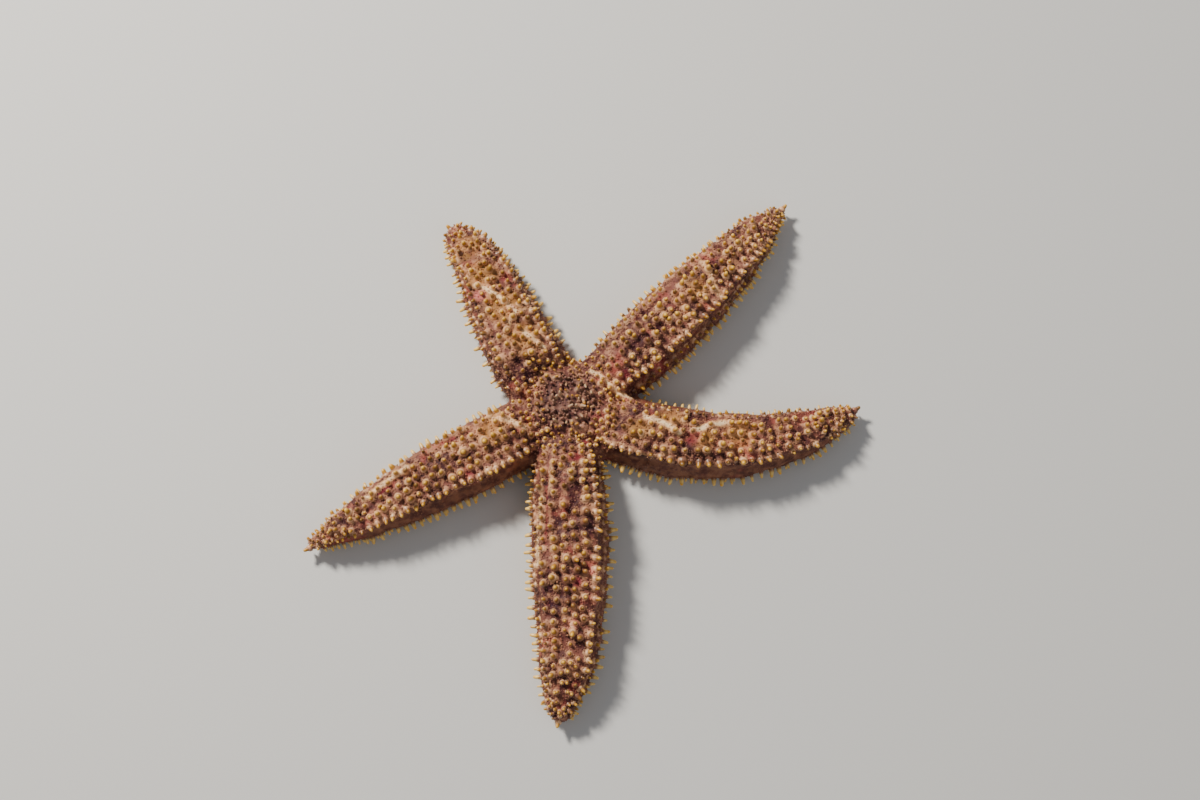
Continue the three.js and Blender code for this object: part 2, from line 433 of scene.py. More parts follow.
# Where points lie on an arm's dome: the degrees from 0 at its widest to 90 along its back, the
# share along the arm, whether they are above its widest level, and which arm it is
def domeDegrees(points):
    which, share, side = armCoordinates(points)
    widths = np.array([halfWidth(arms[w], t) for w, t in zip(which, share)])
    heights = np.array([armHeight(arms[w], t) for w, t in zip(which, share)])
    rise = np.clip((points[:, 2] / mm / heights - star["widestAt"]) / (1 - star["widestAt"]), 0, 1)
    out = np.clip(np.abs(side) / widths, 0, 1)
    power = 1 / star["shoulderPower"]
    return np.degrees(np.arctan2(rise**power, out**power)), share, rise > 0, which


def fadeAtEnds(share):
    fadeIn, fadeOut = skin["fadeIn"], skin["fadeOut"]
    begun = np.clip((share - fadeIn["start"]) / fadeIn["length"], 0, 1)
    return begun * np.clip((fadeOut["end"] - share) / fadeOut["length"], 0, 1)


# The ridge along each shoulder and the hollow band below it, fading towards disc and tip
def shoulderForm(points):
    degrees, share, above, _ = domeDegrees(points)
    ridge = skin["shoulderRise"] * bell(degrees - skin["shoulderAt"], skin["shoulderSpread"])
    hollow = skin["bandDepth"] * bell(degrees - skin["bandAt"], skin["bandSpread"])
    return (ridge - hollow) * fadeAtEnds(share) * above


# How far each point belongs to the bare band below the shoulder, from 0 to 1
def bandShare(points):
    degrees, share, above, which = domeDegrees(points)
    start, full = skin["bandTop"]
    shown = np.array([skin["spinyBandShare"] if arm["spinyBand"] else 1 for arm in arms])[which]
    return np.clip((start - degrees) / (start - full), 0, 1) * fadeAtEnds(share) * above * shown


# How near each point lies to any of a few bent lines, seen from above
def nearLines(points, lines):
    offset = fromDisc(points)
    share = np.zeros(len(points))
    for strength, width, bends in lines:
        for start, end in zip(bends, bends[1:]):
            step = np.subtract(end, start)
            along = np.clip((offset - start) @ step / (step @ step), 0, 1)
            away = np.linalg.norm(offset - start - along[:, None] * step, axis=1)
            share = np.maximum(share, strength * bell(away, width))
    return share


# How strongly crests or red lines mark each place; the crests' marks set the painted highlight. They fade
# where the skin turns down the sides.
def lineMark(points, upward, lines):
    return nearLines(points, skin[lines]) * np.clip((upward - skin["lineFacing"]) / skin["lineFade"], 0, 1)


# Lumps at several sizes, the shoulders and bands of the arms, the crests and the disc's furrow
def shapeSurface(piece):
    points = meshPoints(piece.data)
    normals = meshNormals(piece.data)
    upward = np.clip(normals[:, 2] + skin["creaseOverSide"], 0, 1)
    out = -star["skinInset"] - creaseDepth(points) * upward + shoulderForm(points)
    out += skin["crestRise"] * nearLines(points, skin["crests"]) * np.clip(normals[:, 2], 0, 1)
    for i, point in enumerate(points):
        spot = Vector(point)
        for size, height in skin["lumps"]:
            out[i] += height * noise.noise(spot / (size * mm))
    points += normals * out[:, None] * mm
    points[:, 2] = np.maximum(points[:, 2], 0)
    setPoints(piece.data, points)


def makeSkin():
    bm = bmesh.new()
    addDisc(bm)
    for arm in arms:
        addArm(bm, arm)
    piece = finishMesh(bm, "skin")
    remeshSkin(piece, skin["firstVoxel"])
    carveUnderside(piece)
    remeshSkin(piece, skin["voxel"])
    smoothPoints(piece, skin["smoothing"])
    shapeSurface(piece)
    piece.data.shade_smooth()
    return piece


skinPiece = makeSkin()
skinTree = BVHTree.FromObject(skinPiece, bpy.context.evaluated_depsgraph_get())
print("skin ready:", len(skinPiece.data.polygons), "faces")


# Colours in everyday 0 to 255 values, turned into the linear ones that a shader takes
def paint(red, green, blue):
    shares = [channel / 255 for channel in (red, green, blue)]
    return tuple(c / 12.92 if c < 0.04 else ((c + 0.055) / 1.055) ** 2.4 for c in shares) + (1,)


colours = {
    "skinDark": paint(54, 17, 25),
    "skinMid": paint(116, 68, 58),
    "skinTan": paint(176, 124, 94),
    "band": paint(142, 94, 68),
    "bandDark": paint(92, 52, 42),
    "rose": paint(178, 80, 70),
    # These two are painted highlights along the crests: a soft peach glow and a bright core
    "crestHighlight": paint(236, 182, 130),
    "glint": paint(255, 226, 182),
    # Golden tint: partly the arms' own colour, partly painted sunlight
    "gold": paint(206, 148, 74),
    "discDark": paint(50, 24, 28),
    "discBrown": paint(94, 58, 52),
    "discGrey": paint(140, 102, 84),
    "discPale": paint(192, 158, 124),
    "underside": paint(206, 166, 122),
    "underShade": paint(168, 116, 84),
    "groove": paint(146, 92, 72),
    "nubDark": paint(84, 42, 34),
    "nubPale": paint(184, 128, 94),
    "bulbDark": paint(98, 56, 48),
    "bulbPale": paint(196, 142, 108),
    "rim": paint(226, 178, 134),
    "tipBrown": paint(100, 60, 24),
    "tipOchre": paint(178, 122, 34),
    "tipGold": paint(236, 186, 74),
    "pegCream": paint(242, 202, 110),
    "pegTip": paint(234, 172, 48),
    "button": paint(178, 128, 104),
    "footPale": paint(230, 202, 156),
    "sucker": paint(226, 194, 148),
    "eyespot": paint(160, 34, 22),
    "lips": paint(150, 92, 76),
    "wine": paint(126, 34, 46),
    # Pink of the skin, also laid on the crests as part of the painted highlight
    "pinkAndHighlight": paint(226, 132, 120),
    "plum": paint(52, 15, 28),
}


def addNode(tree, kind, inputs=None, **settings):
    node = tree.nodes.new("ShaderNode" + kind)
    for name, value in settings.items():
        setattr(node, name, value)
    for name, value in (inputs or {}).items():
        feed(tree, value, node.inputs[name])
    return node


# A socket takes a link from another node, or a plain value
def feed(tree, value, socket):
    if isinstance(value, bpy.types.NodeSocket):
        tree.links.new(value, socket)
    else:
        socket.default_value = value


def mixColour(tree, share, first, second):
    node = tree.nodes.new("ShaderNodeMix")
    node.data_type = "RGBA"
    for socket, value in zip((node.inputs[0], node.inputs[6], node.inputs[7]), (share, first, second)):
        feed(tree, value, socket)
    return node.outputs[2]


def combine(tree, operation, first, second):
    return addNode(tree, "Math", {0: first, 1: second}, operation=operation).outputs[0]


def vectorMath(tree, operation, first, second, output):
    return addNode(tree, "VectorMath", {0: first, 1: second}, operation=operation).outputs[output]


# A smooth step from one value to another, from 0 to 1 unless toLow and toHigh say otherwise
def spread(tree, value, low, high, toLow=0, toHigh=1):
    inputs = {"Value": value, "From Min": low, "From Max": high, "To Min": toLow, "To Max": toHigh}
    return addNode(tree, "MapRange", inputs, interpolation_type="SMOOTHSTEP").outputs["Result"]


def objectPlace(tree):
    return addNode(tree, "TexCoord").outputs["Object"]


def readAttribute(tree, name):
    return addNode(tree, "Attribute", attribute_name=name).outputs["Fac"]


def patches(tree, place, size, detail=3, shift=0):
    moved = addNode(tree, "Mapping", {"Vector": place, "Location": (shift, shift * 0.7, -shift)})
    inputs = {"Vector": moved.outputs["Vector"], "Scale": 1 / (size * mm), "Detail": detail}
    return addNode(tree, "TexNoise", inputs).outputs["Fac"]


# Each tint is the mark that it follows, its strength and the colour that it brings
def tinted(tree, found, colour, tints):
    for mark, strength, name in tints:
        colour = mixColour(tree, combine(tree, "MULTIPLY", found[mark], strength), colour, colours[name])
    return colour


# A noise is its size in mm, its detail and its shift. A limit is where a mark begins and where it
# is full: a share of its noise or, for ring, disc and under, mm from the disc centre or the floor.
# A spot is (right, up, radius) in mm from the disc centre.
marks = {
    "noises": {
        "broad": (21, 2.5, 0),
        "fine": (6.5, 3, 0.13),
        "rosy": (12, 3, 0.41),
        "bruised": (9, 3, 0.77),
        "frayed": (3, 2.5, 0.6),
        "blotched": (5.2, 2, 0.9),
        "tanned": (3.4, 2, 0.3),
    },
    "limits": {
        "pale": (0.82, 1.16),
        "rose": (0.56, 0.72),
        "bruise": (0.54, 0.66),
        "ringBreak": (0.46, 0.58),
        "redLine": (0, 0.4),
        # Painted highlight along the crests: where its soft edge and its bright glint core begin and are full
        "crestHighlight": (-0.2, 0.3),
        "glint": (0.2, 0.5),
        "blotch": (0.44, 0.55),
        "tan": (0.5, 0.68, 0, 0.8),
    },
    "ringStart": (10.5, 15),
    "ringEnd": (32, 24),
    "disc": (23, 14),
    "under": (5.5, 3),
    "discRagged": 8,
    "spotRagged": 1.4,
    "spotEdge": (2.1, 1.1),
    "fray": 0.9,
    "blushes": (
        (28, 12, 3.5), (15, 13, 1.8), (-18, -9, 2.5), (5.7, -28, 3), (10, -20, 2),
        (61, -19, 4), (46, 19, 3), (-46, -37, 3.5), (-30, 62, 3), (6, -88, 2.5),
    ),
    "shades": (
        (8.8, -61, 6), (2.5, -98, 4.5), (9, -84, 3.5), (-6, -98, 3), (-20, 10, 4),
        (-27, -15, 3), (-45, -28, 4.5), (29, 14, 3.5), (60, -23, 3.5), (64, 46, 4.5),
        (-14, 58, 4), (-8, -90, 3), (38, 30, 4), (-50, 74, 4),
    ),
    # Pink spots at the crests: partly the skin's own pink, partly painted highlight
    "pinkAndHighlightSpots": (
        (3, -108, 3), (13, -83, 2.5), (-27, 45, 2), (17, 11, 2), (44, 18, 2.5), (-43, 53, 3), (62, -17, 2),
    ),
    # Golden spots on the upper-left and right arms and beside their crests: partly the arms' own tint, partly
    # painted sunlight
    "goldAndSunlitSpots": (
        (-50, 78, 7), (-42, 64, 8), (-32, 46, 9), (-20, 30, 8), (-36, -14, 8),
        (50, -10, 6), (64, 56, 5), (35, -15, 6), (66, -20, 6), (82, -18, 7),
    ),
    # In both lists the crest and glint tints are painted highlights, pink is partly painted highlight and
    # gold partly painted sunlight
    "skinTints": (
        ("rose", 0.5, "rose"), ("shade", 0.95, "plum"), ("gold", 0.38, "gold"), ("ring", 0.3, "plum"),
        ("blush", 0.7, "wine"), ("crestHighlight", 0.6, "crestHighlight"), ("pinkAndHighlight", 0.6, "pinkAndHighlight"), ("glint", 0.75, "glint"),
    ),
    "cushionTints": (
        ("gold", 0.5, "gold"), ("rose", 0.4, "rose"), ("ring", 0.25, "wine"), ("blush", 0.5, "rose"),
        ("bruise", 0.35, "skinDark"), ("shade", 0.8, "plum"), ("crestHighlight", 0.45, "crestHighlight"), ("pinkAndHighlight", 0.5, "pinkAndHighlight"),
        ("glint", 0.5, "glint"),
    ),
    "skinOnDisc": 0.85,
    "cushionOnDisc": 0.8,
    "bandStrength": 0.75,
}


# How far each place belongs to any of a few ragged spots, seen from above
def spotShare(tree, flat, ragged, spots):
    outside, inside = marks["spotEdge"]
    share = None
    for right, up, radius in spots:
        size = radius * mm
        away = vectorMath(tree, "DISTANCE", flat, tuple(centre + Vector((right, up, 0)) * mm), "Value")
        away = combine(tree, "ADD", away, combine(tree, "MULTIPLY", ragged, marks["spotRagged"] * size))
        spot = spread(tree, away, outside * size, inside * size)
        share = spot if share is None else combine(tree, "MAXIMUM", share, spot)
    return share


# The disc's own mottled ground, laid over a colour
def overDisc(tree, found, colour, strength, dark, light):
    ground = mixColour(tree, found["blotch"], colours[dark], colours[light])
    return mixColour(tree, combine(tree, "MULTIPLY", found["disc"], strength), colour, ground)


def inMetres(sizes):
    return [size * mm for size in sizes]


# The markings that skin, spines and nubs share, from Object coordinates and from their own place.
# The crest highlight and the glint are painted highlights. The pink spots are partly painted highlight and
# the gold spots partly painted sunlight.
def makeMarkings():
    group = bpy.data.node_groups.new("starMarkings", "ShaderNodeTree")
    place = objectPlace(group)
    noises = {name: patches(group, place, *kind) for name, kind in marks["noises"].items()}
    limits = marks["limits"]
    flat = vectorMath(group, "MULTIPLY", place, (1, 1, 0), 0)
    reach = vectorMath(group, "DISTANCE", flat, tuple(centre), "Value")
    level = addNode(group, "SeparateXYZ", {"Vector": place}).outputs["Z"]
    ragged = combine(group, "MULTIPLY", noises["fine"], marks["discRagged"] * mm)
    ring = spread(group, reach, *inMetres(marks["ringStart"]))
    ring = combine(group, "MULTIPLY", ring, spread(group, noises["bruised"], *limits["ringBreak"]))
    ring = combine(group, "MULTIPLY", ring, spread(group, reach, *inMetres(marks["ringEnd"])))
    fray = combine(group, "MULTIPLY", noises["frayed"], marks["fray"])
    # The painted highlight along the crests, frayed by fine noise
    crestHighlight = combine(group, "SUBTRACT", readAttribute(group, "crests"), fray)
    redLine = combine(group, "SUBTRACT", readAttribute(group, "redLines"), fray)
    blush = spotShare(group, flat, noises["fine"], marks["blushes"])
    found = {
        "pale": spread(group, combine(group, "ADD", noises["broad"], noises["fine"]), *limits["pale"]),
        "rose": spread(group, noises["rosy"], *limits["rose"]),
        "ring": ring,
        "bruise": spread(group, noises["bruised"], *limits["bruise"]),
        "disc": spread(group, combine(group, "ADD", reach, ragged), *inMetres(marks["disc"])),
        "under": spread(group, level, *inMetres(marks["under"])),
        "blush": combine(group, "MAXIMUM", blush, spread(group, redLine, *limits["redLine"])),
        "shade": spotShare(group, flat, noises["fine"], marks["shades"]),
        "crestHighlight": spread(group, crestHighlight, *limits["crestHighlight"]),
        "glint": spread(group, crestHighlight, *limits["glint"]),
        "pinkAndHighlight": spotShare(group, flat, noises["fine"], marks["pinkAndHighlightSpots"]),
        "gold": spotShare(group, flat, noises["fine"], marks["goldAndSunlitSpots"]),
        "blotch": spread(group, noises["blotched"], *limits["blotch"]),
    }
    skinColour = mixColour(group, found["pale"], colours["skinDark"], colours["skinMid"])
    tan = spread(group, noises["tanned"], *limits["tan"])
    skinColour = mixColour(group, tan, skinColour, colours["skinTan"])
    skinColour = tinted(group, found, skinColour, marks["skinTints"])
    skinColour = overDisc(group, found, skinColour, marks["skinOnDisc"], "discDark", "discBrown")
    cushion = mixColour(group, found["pale"], colours["bulbDark"], colours["bulbPale"])
    cushion = tinted(group, found, cushion, marks["cushionTints"])
    cushion = overDisc(group, found, cushion, marks["cushionOnDisc"], "discBrown", "discGrey")
    out = group.nodes.new("NodeGroupOutput")
    for name, value in found.items():
        group.interface.new_socket(name, in_out="OUTPUT", socket_type="NodeSocketFloat")
        group.links.new(value, out.inputs[name])
    for name, colour in (("skin", skinColour), ("cushion", cushion)):
        group.interface.new_socket(name, in_out="OUTPUT", socket_type="NodeSocketColor")
        group.links.new(colour, out.inputs[name])
    return group


markings = makeMarkings()


def readMarkings(tree):
    node = tree.nodes.new("ShaderNodeGroup")
    node.node_tree = markings
    return node.outputs


def startMaterial(name, roughness, specular, coat=0):
    material = bpy.data.materials.new(name)
    material.use_nodes = True
    tree = material.node_tree
    surface = tree.nodes["Principled BSDF"]
    surface.inputs["Roughness"].default_value = roughness
    surface.inputs["Specular IOR Level"].default_value = specular
    surface.inputs["Coat Weight"].default_value = coat
    surface.inputs["Coat Roughness"].default_value = 0.28
    return material, tree, surface


# A bump is its depth in mm and its strength
def addBump(tree, surface, height, depth, strength):
    bump = addNode(tree, "Bump", {"Height": height, "Distance": depth * mm, "Strength": strength})
    tree.links.new(bump.outputs["Normal"], surface.inputs["Normal"])


def overBand(tree, colour, band):
    share = combine(tree, "MULTIPLY", readAttribute(tree, "band"), marks["bandStrength"])
    return mixColour(tree, share, colour, band)


# In the looks below a stretch is where something begins and ends along its attribute or noise,
# with its value at both ends if they aren't 0 and 1. Noises and bumps are in mm.
skinLook = {
    "grain": (1.3, 2),
    "puffs": 1.7,
    "cushion": (0.2, 0.62, 0, 0.9),
    "halo": (0.4, 0.9, 0, 0.5),
    "bandNoise": (4, 3),
    "bandPale": (0.35, 0.62),
    "bandTints": (("blush", 0.7, "wine"), ("rose", 0.3, "rose"), ("bruise", 0.3, "skinDark")),
    "flecks": (0.58, 0.8, 0, 0.35),
    "groove": (0.1, 0.5),
    "underNoise": (3.2, 4),
    "underShade": (0.42, 0.62),
    "bump": (0.5, 0.5),
}


def makeSkinMaterial():
    material, tree, surface = startMaterial("mottledSkin", roughness=0.62, specular=0.22)
    found = readMarkings(tree)
    place = objectPlace(tree)
    grain = patches(tree, place, *skinLook["grain"])
    puffScale = {"Vector": place, "Scale": 1 / (skinLook["puffs"] * mm)}
    puffs = addNode(tree, "TexVoronoi", puffScale, feature="SMOOTH_F1").outputs["Distance"]
    swell = spread(tree, readAttribute(tree, "cushion"), *skinLook["cushion"])
    colour = mixColour(tree, swell, found["skin"], found["cushion"])
    halo = spread(tree, readAttribute(tree, "halo"), *skinLook["halo"])
    colour = mixColour(tree, halo, colour, colours["rim"])
    bandPale = spread(tree, patches(tree, place, *skinLook["bandNoise"]), *skinLook["bandPale"])
    band = mixColour(tree, bandPale, colours["bandDark"], colours["band"])
    colour = overBand(tree, colour, tinted(tree, found, band, skinLook["bandTints"]))
    colour = mixColour(tree, spread(tree, grain, *skinLook["flecks"]), colour, colours["skinTan"])
    groove = spread(tree, readAttribute(tree, "down"), *skinLook["groove"])
    colour = mixColour(tree, groove, colour, colours["groove"])
    underShade = spread(tree, patches(tree, place, *skinLook["underNoise"]), *skinLook["underShade"])
    underside = mixColour(tree, underShade, colours["underside"], colours["underShade"])
    colour = mixColour(tree, found["under"], colour, underside)
    tree.links.new(colour, surface.inputs["Base Color"])
    addBump(tree, surface, combine(tree, "SUBTRACT", grain, puffs), *skinLook["bump"])
    return material


# On spines, pegs and feet reach runs from 0 at the foot to 1 at the tip, and tone differs from one
# to the next
spineLook = {
    "rimTone": (0.3, 0.9, 0.15, 0.85),
    "rimReach": (0.02, 0.22),
    "ochreTone": (0.05, 0.45),
    "goldReach": (0.6, 0.95),
    "goldTone": (0.1, 0.9, 0.15, 0.8),
    "brownLine": (0.39, 0.43, 0, 0.6),
    "tipReach": (0.45, 0.55),
    # The crest tint is painted highlight along the crests
    "tints": (("shade", 0.5, "skinMid"), ("crestHighlight", 0.15, "crestHighlight")),
    "noise": (0.7, 2),
    "bump": (0.18, 0.4),
}


# A mottled bulb with a pale rim, a thin brown line and an ochre or gold tip
def makeSpineMaterial():
    material, tree, surface = startMaterial("bulbAndSpine", roughness=0.4, specular=0.45, coat=0.2)
    found = readMarkings(tree)
    reach, tone = readAttribute(tree, "reach"), readAttribute(tree, "tone")
    rimTone = spread(tree, tone, *spineLook["rimTone"])
    rim = combine(tree, "MULTIPLY", rimTone, spread(tree, reach, *spineLook["rimReach"]))
    colour = mixColour(tree, rim, found["cushion"], colours["rim"])
    ochreShare = spread(tree, tone, *spineLook["ochreTone"])
    tip = mixColour(tree, ochreShare, colours["tipBrown"], colours["tipOchre"])
    goldTone = spread(tree, tone, *spineLook["goldTone"])
    gold = combine(tree, "MULTIPLY", spread(tree, reach, *spineLook["goldReach"]), goldTone)
    tip = mixColour(tree, gold, tip, colours["tipGold"])
    colour = mixColour(tree, spread(tree, reach, *spineLook["brownLine"]), colour, colours["tipBrown"])
    colour = mixColour(tree, spread(tree, reach, *spineLook["tipReach"]), colour, tip)
    colour = tinted(tree, found, colour, spineLook["tints"])
    tree.links.new(colour, surface.inputs["Base Color"])
    addBump(tree, surface, patches(tree, objectPlace(tree), *spineLook["noise"]), *spineLook["bump"])
    return material


discSpineLook = {
    "paleTone": (0.1, 0.6, 0, 0.9),
    "ochreTone": (0.66, 0.7),
    "topReach": (0.6, 0.85),
    "footReach": (0, 0.25, 1, 0),
    "tints": (("rose", 0.35, "rose"), ("blush", 0.3, "rose"), ("bruise", 0.5, "plum")),
}


# Small grey and brown spines of the disc. Some have an ochre tip, and all have one outside its middle.
def makeDiscSpineMaterial():
    material, tree, surface = startMaterial("discSpine", roughness=0.42, specular=0.4, coat=0.15)
    found = readMarkings(tree)
    reach, tone = readAttribute(tree, "reach"), readAttribute(tree, "tone")
    ground = mixColour(tree, found["blotch"], colours["discBrown"], colours["discGrey"])
    pale = mixColour(tree, spread(tree, tone, *discSpineLook["paleTone"]), ground, colours["discPale"])
    shaft = mixColour(tree, found["disc"], found["cushion"], pale)
    top = mixColour(tree, spread(tree, tone, *discSpineLook["ochreTone"]), pale, colours["tipOchre"])
    top = mixColour(tree, found["disc"], colours["tipOchre"], top)
    colour = mixColour(tree, spread(tree, reach, *discSpineLook["topReach"]), shaft, top)
    colour = mixColour(tree, spread(tree, reach, *discSpineLook["footReach"]), colour, found["cushion"])
    colour = tinted(tree, found, colour, discSpineLook["tints"])
    tree.links.new(colour, surface.inputs["Base Color"])
    return material


pegLook = {
    "creamReach": (0.1, 0.5),
    "tipReach": (0.6, 0.85),
    "tints": (("bruise", 0.25, "bulbDark"),),
    "noise": (0.6, 2),
    "bump": (0.15, 0.4),
}


def makePegMaterial():
    material, tree, surface = startMaterial("marginPeg", roughness=0.36, specular=0.45, coat=0.25)
    found = readMarkings(tree)
    reach, tone = readAttribute(tree, "reach"), readAttribute(tree, "tone")
    creamShare = spread(tree, reach, *pegLook["creamReach"])
    colour = mixColour(tree, creamShare, colours["band"], colours["pegCream"])
    tip = mixColour(tree, tone, colours["pegCream"], colours["pegTip"])
    colour = mixColour(tree, spread(tree, reach, *pegLook["tipReach"]), colour, tip)
    colour = tinted(tree, found, colour, pegLook["tints"])
    tree.links.new(colour, surface.inputs["Base Color"])
    addBump(tree, surface, patches(tree, objectPlace(tree), *pegLook["noise"]), *pegLook["bump"])
    return material


nubLook = {
    "ownTints": (("rose", 0.6, "rose"), ("blush", 0.6, "wine"), ("disc", 0.5, "discGrey")),
    "ownShare": 0.3,
    "cushionTone": (0.2, 0.9),
    "tints": (("under", 0.9, "underside"),),
}


def makeNubMaterial():
    material, tree, surface = startMaterial("nubs", roughness=0.5, specular=0.35, coat=0.08)
    found = readMarkings(tree)
    tone = readAttribute(tree, "tone")
    own = mixColour(tree, tone, colours["nubDark"], colours["nubPale"])
    own = tinted(tree, found, own, nubLook["ownTints"])
    colour = mixColour(tree, spread(tree, tone, *nubLook["cushionTone"]), found["skin"], found["cushion"])
    colour = mixColour(tree, nubLook["ownShare"], colour, own)
    colour = overBand(tree, colour, colours["band"])
    colour = tinted(tree, found, colour, nubLook["tints"])
    tree.links.new(colour, surface.inputs["Base Color"])
    return material


footLook = {"suckerReach": (0.75, 0.9)}


def makeFootMaterial():
    material, tree, surface = startMaterial("tubeFoot", roughness=0.35, specular=0.5)
    reach, tone = readAttribute(tree, "reach"), readAttribute(tree, "tone")
    shade = mixColour(tree, tone, colours["underside"], colours["footPale"])
    colour = mixColour(tree, spread(tree, reach, *footLook["suckerReach"]), shade, colours["sucker"])
    tree.links.new(colour, surface.inputs["Base Color"])
    return material


plainLook = {"noise": (0.9, 3), "mottle": (0.4, 0.6), "darkShare": 0.35}


def plainMaterial(name, colour, roughness):
    material, tree, surface = startMaterial(name, roughness, specular=0.45, coat=0.2)
    shade = mixColour(tree, plainLook["darkShare"], colours[colour], colours["skinMid"])
    mottle = spread(tree, patches(tree, objectPlace(tree), *plainLook["noise"]), *plainLook["mottle"])
    tree.links.new(mixColour(tree, mottle, shade, colours[colour]), surface.inputs["Base Color"])
    return material


skinPiece.data.materials.append(makeSkinMaterial())
spineMaterial = makeSpineMaterial()
discSpineMaterial = makeDiscSpineMaterial()
pegMaterial = makePegMaterial()
nubMaterial = makeNubMaterial()
footMaterial = makeFootMaterial()
print("materials ready")


# A small shape as arrays: its points and triangles, how far up it each point is, and the turn
def shapeArrays(bm, top):
    bmesh.ops.triangulate(bm, faces=bm.faces)
    bm.verts.ensure_lookup_table()
    points = np.array([vert.co for vert in bm.verts])
    faces = np.array([[vert.index for vert in face.verts] for face in bm.faces])
    bm.free()
    reach = np.clip(points[:, 2] / top, 0, 1)
    around = np.arctan2(points[:, 1], points[:, 0]) / (2 * math.pi) + 0.5
    return {"points": points, "faces": faces, "reach": reach, "around": around}


# A profile of (radius, height) in mm, spun round the upright axis
def spinProfile(profile, sides):
    bm = bmesh.new()
    verts = [bm.verts.new((radius, 0, height)) for radius, height in profile]
    edges = [bm.edges.new(pair) for pair in zip(verts, verts[1:])]
    spun = {"cent": (0, 0, 0), "axis": (0, 0, 1), "angle": 2 * math.pi, "steps": sides, "use_merge": True}
    bmesh.ops.spin(bm, geom=verts + edges, **spun)
    bmesh.ops.remove_doubles(bm, verts=bm.verts, dist=1e-4)
    bmesh.ops.recalc_face_normals(bm, faces=bm.faces)
    return bm


# A spun profile, uneven by the share `wobble` below its tip, that leans `lean` mm at its top
def turnShape(profile, sides, lean=0, wobble=0):
    bm = spinProfile(profile, sides)
    top = max(height for _, height in profile)
    for vert in bm.verts:
        angle = math.atan2(vert.co.y, vert.co.x)
        uneven = 0.6 * math.cos(2 * angle + 7 * lean) + 0.4 * math.cos(3 * angle + 11 * lean)
        grow = 1 + wobble * uneven * (vert.co.z < 0.55 * top)
        share = max(0, vert.co.z / top)
        vert.co = Vector((vert.co.x * grow + lean * share**1.6, vert.co.y * grow, vert.co.z))
    return shapeArrays(bm, top)


def nubShape():
    bm = bmesh.new()
    bmesh.ops.create_icosphere(bm, subdivisions=1, radius=1)
    return shapeArrays(bm, 1)


# A shape's seats as arrays: each has its spot, its axes, its tone, its share of the bare band and
# its patch on the OFBake map
def gather(seats):
    seats = [seat for seat in seats if seat]
    empty = {"spot": (0, 3), "axes": (0, 3, 3), "tone": (0,), "band": (0,), "patch": (0, 2)}
    if not seats:
        return {key: np.zeros(shape) for key, shape in empty.items()}
    return {key: np.array([seat[key] for seat in seats]) for key in empty}


# Seats dealt out in turn to variants of a shape, which lean by different amounts
def deal(shapes, seats):
    return [(shape, gather(seats[start :: len(shapes)])) for start, shape in enumerate(shapes)]


# The OFBake map unrolls each arm. It runs along the map, with its back in the middle and the two
# halves of its underside at the edges, and each copy is one small patch at its root's place.
bakeMap = {
    "patch": 0.003,
    "start": 0.01,
    "length": 0.98,
    "backWidth": 0.32,
    "underEdge": 0.49,
    "underWidth": 0.15,
    "feetAt": 0.47,
    "armEnd": (0.99, 0.5),
    "discScale": 60,
    "mouthScale": 0.08,
}


# How far from the middle of the map a share of the half width lies, on the back or underneath
def mapSide(share, faceUp):
    return bakeMap["backWidth"] * share if faceUp else bakeMap["underEdge"] - bakeMap["underWidth"] * share


def mapPlace(t, offset):
    return bakeMap["start"] + bakeMap["length"] * t, 0.5 + offset


# Copies of small shapes as one mesh
def plant(name, batches, material):
    points, faces, patch = [], [], []
    values = {key: [] for key in ("reach", "tone", "band", "crests", "redLines")}
    start = 0
    for shape, seats in batches:
        count, size = len(seats["spot"]), len(shape["points"])
        if not count:
            continue
        placed = np.einsum("nij,vj->nvi", seats["axes"], shape["points"]) * mm + seats["spot"][:, None]
        points.append(placed.reshape(-1, 3))
        firsts = start + size * np.arange(count)
        faces.append((shape["faces"][None] + firsts[:, None, None]).reshape(-1, 3))
        values["reach"].append(np.tile(shape["reach"], count))
        for key in ("tone", "band"):
            values[key].append(np.repeat(seats[key], size))
        upward = seats["axes"][:, 2, 2] / np.linalg.norm(seats["axes"][:, :, 2], axis=1)
        for key in ("crests", "redLines"):
            values[key].append(np.repeat(lineMark(seats["spot"], upward, key), size))
        local = np.stack((shape["around"], shape["reach"]), axis=1) - 0.5
        patch.append((seats["patch"][:, None] + bakeMap["patch"] * local[None]).reshape(-1, 2))
        start += count * size
    mesh = bpy.data.meshes.new(name)
    mesh.from_pydata(np.concatenate(points), [], np.concatenate(faces).tolist())
    for key, parts in values.items():
        layer = mesh.attributes.new(key, "FLOAT", "POINT")
        layer.data.foreach_set("value", np.concatenate(parts).astype(np.float32))
    corners = np.empty(len(mesh.loops), dtype=np.int32)
    mesh.loops.foreach_get("vertex_index", corners)
    layer = mesh.uv_layers.new(name="OFBake")
    layer.data.foreach_set("uv", np.clip(np.concatenate(patch)[corners], 0, 1).astype(np.float32).ravel())
    mesh.materials.append(material)
    return linkPiece(name, mesh)


# A copy of a shape on a spot: `up` is the way that it stands and `size` its scale each way
def seatAt(spot, up, size, patch, tone=None, band=0):
    turn = Vector((0, 0, 1)).rotation_difference(up) @ Quaternion((0, 0, 1), random.uniform(0, 2 * math.pi))
    axes = np.array(turn.to_matrix() @ Matrix.Diagonal(size))
    tone = random.random() if tone is None else tone
    return {"spot": np.array(spot), "axes": axes, "tone": tone, "band": band, "patch": patch}


def randomTurn(most):
    return Vector([random.uniform(-most, most) for _ in range(3)])


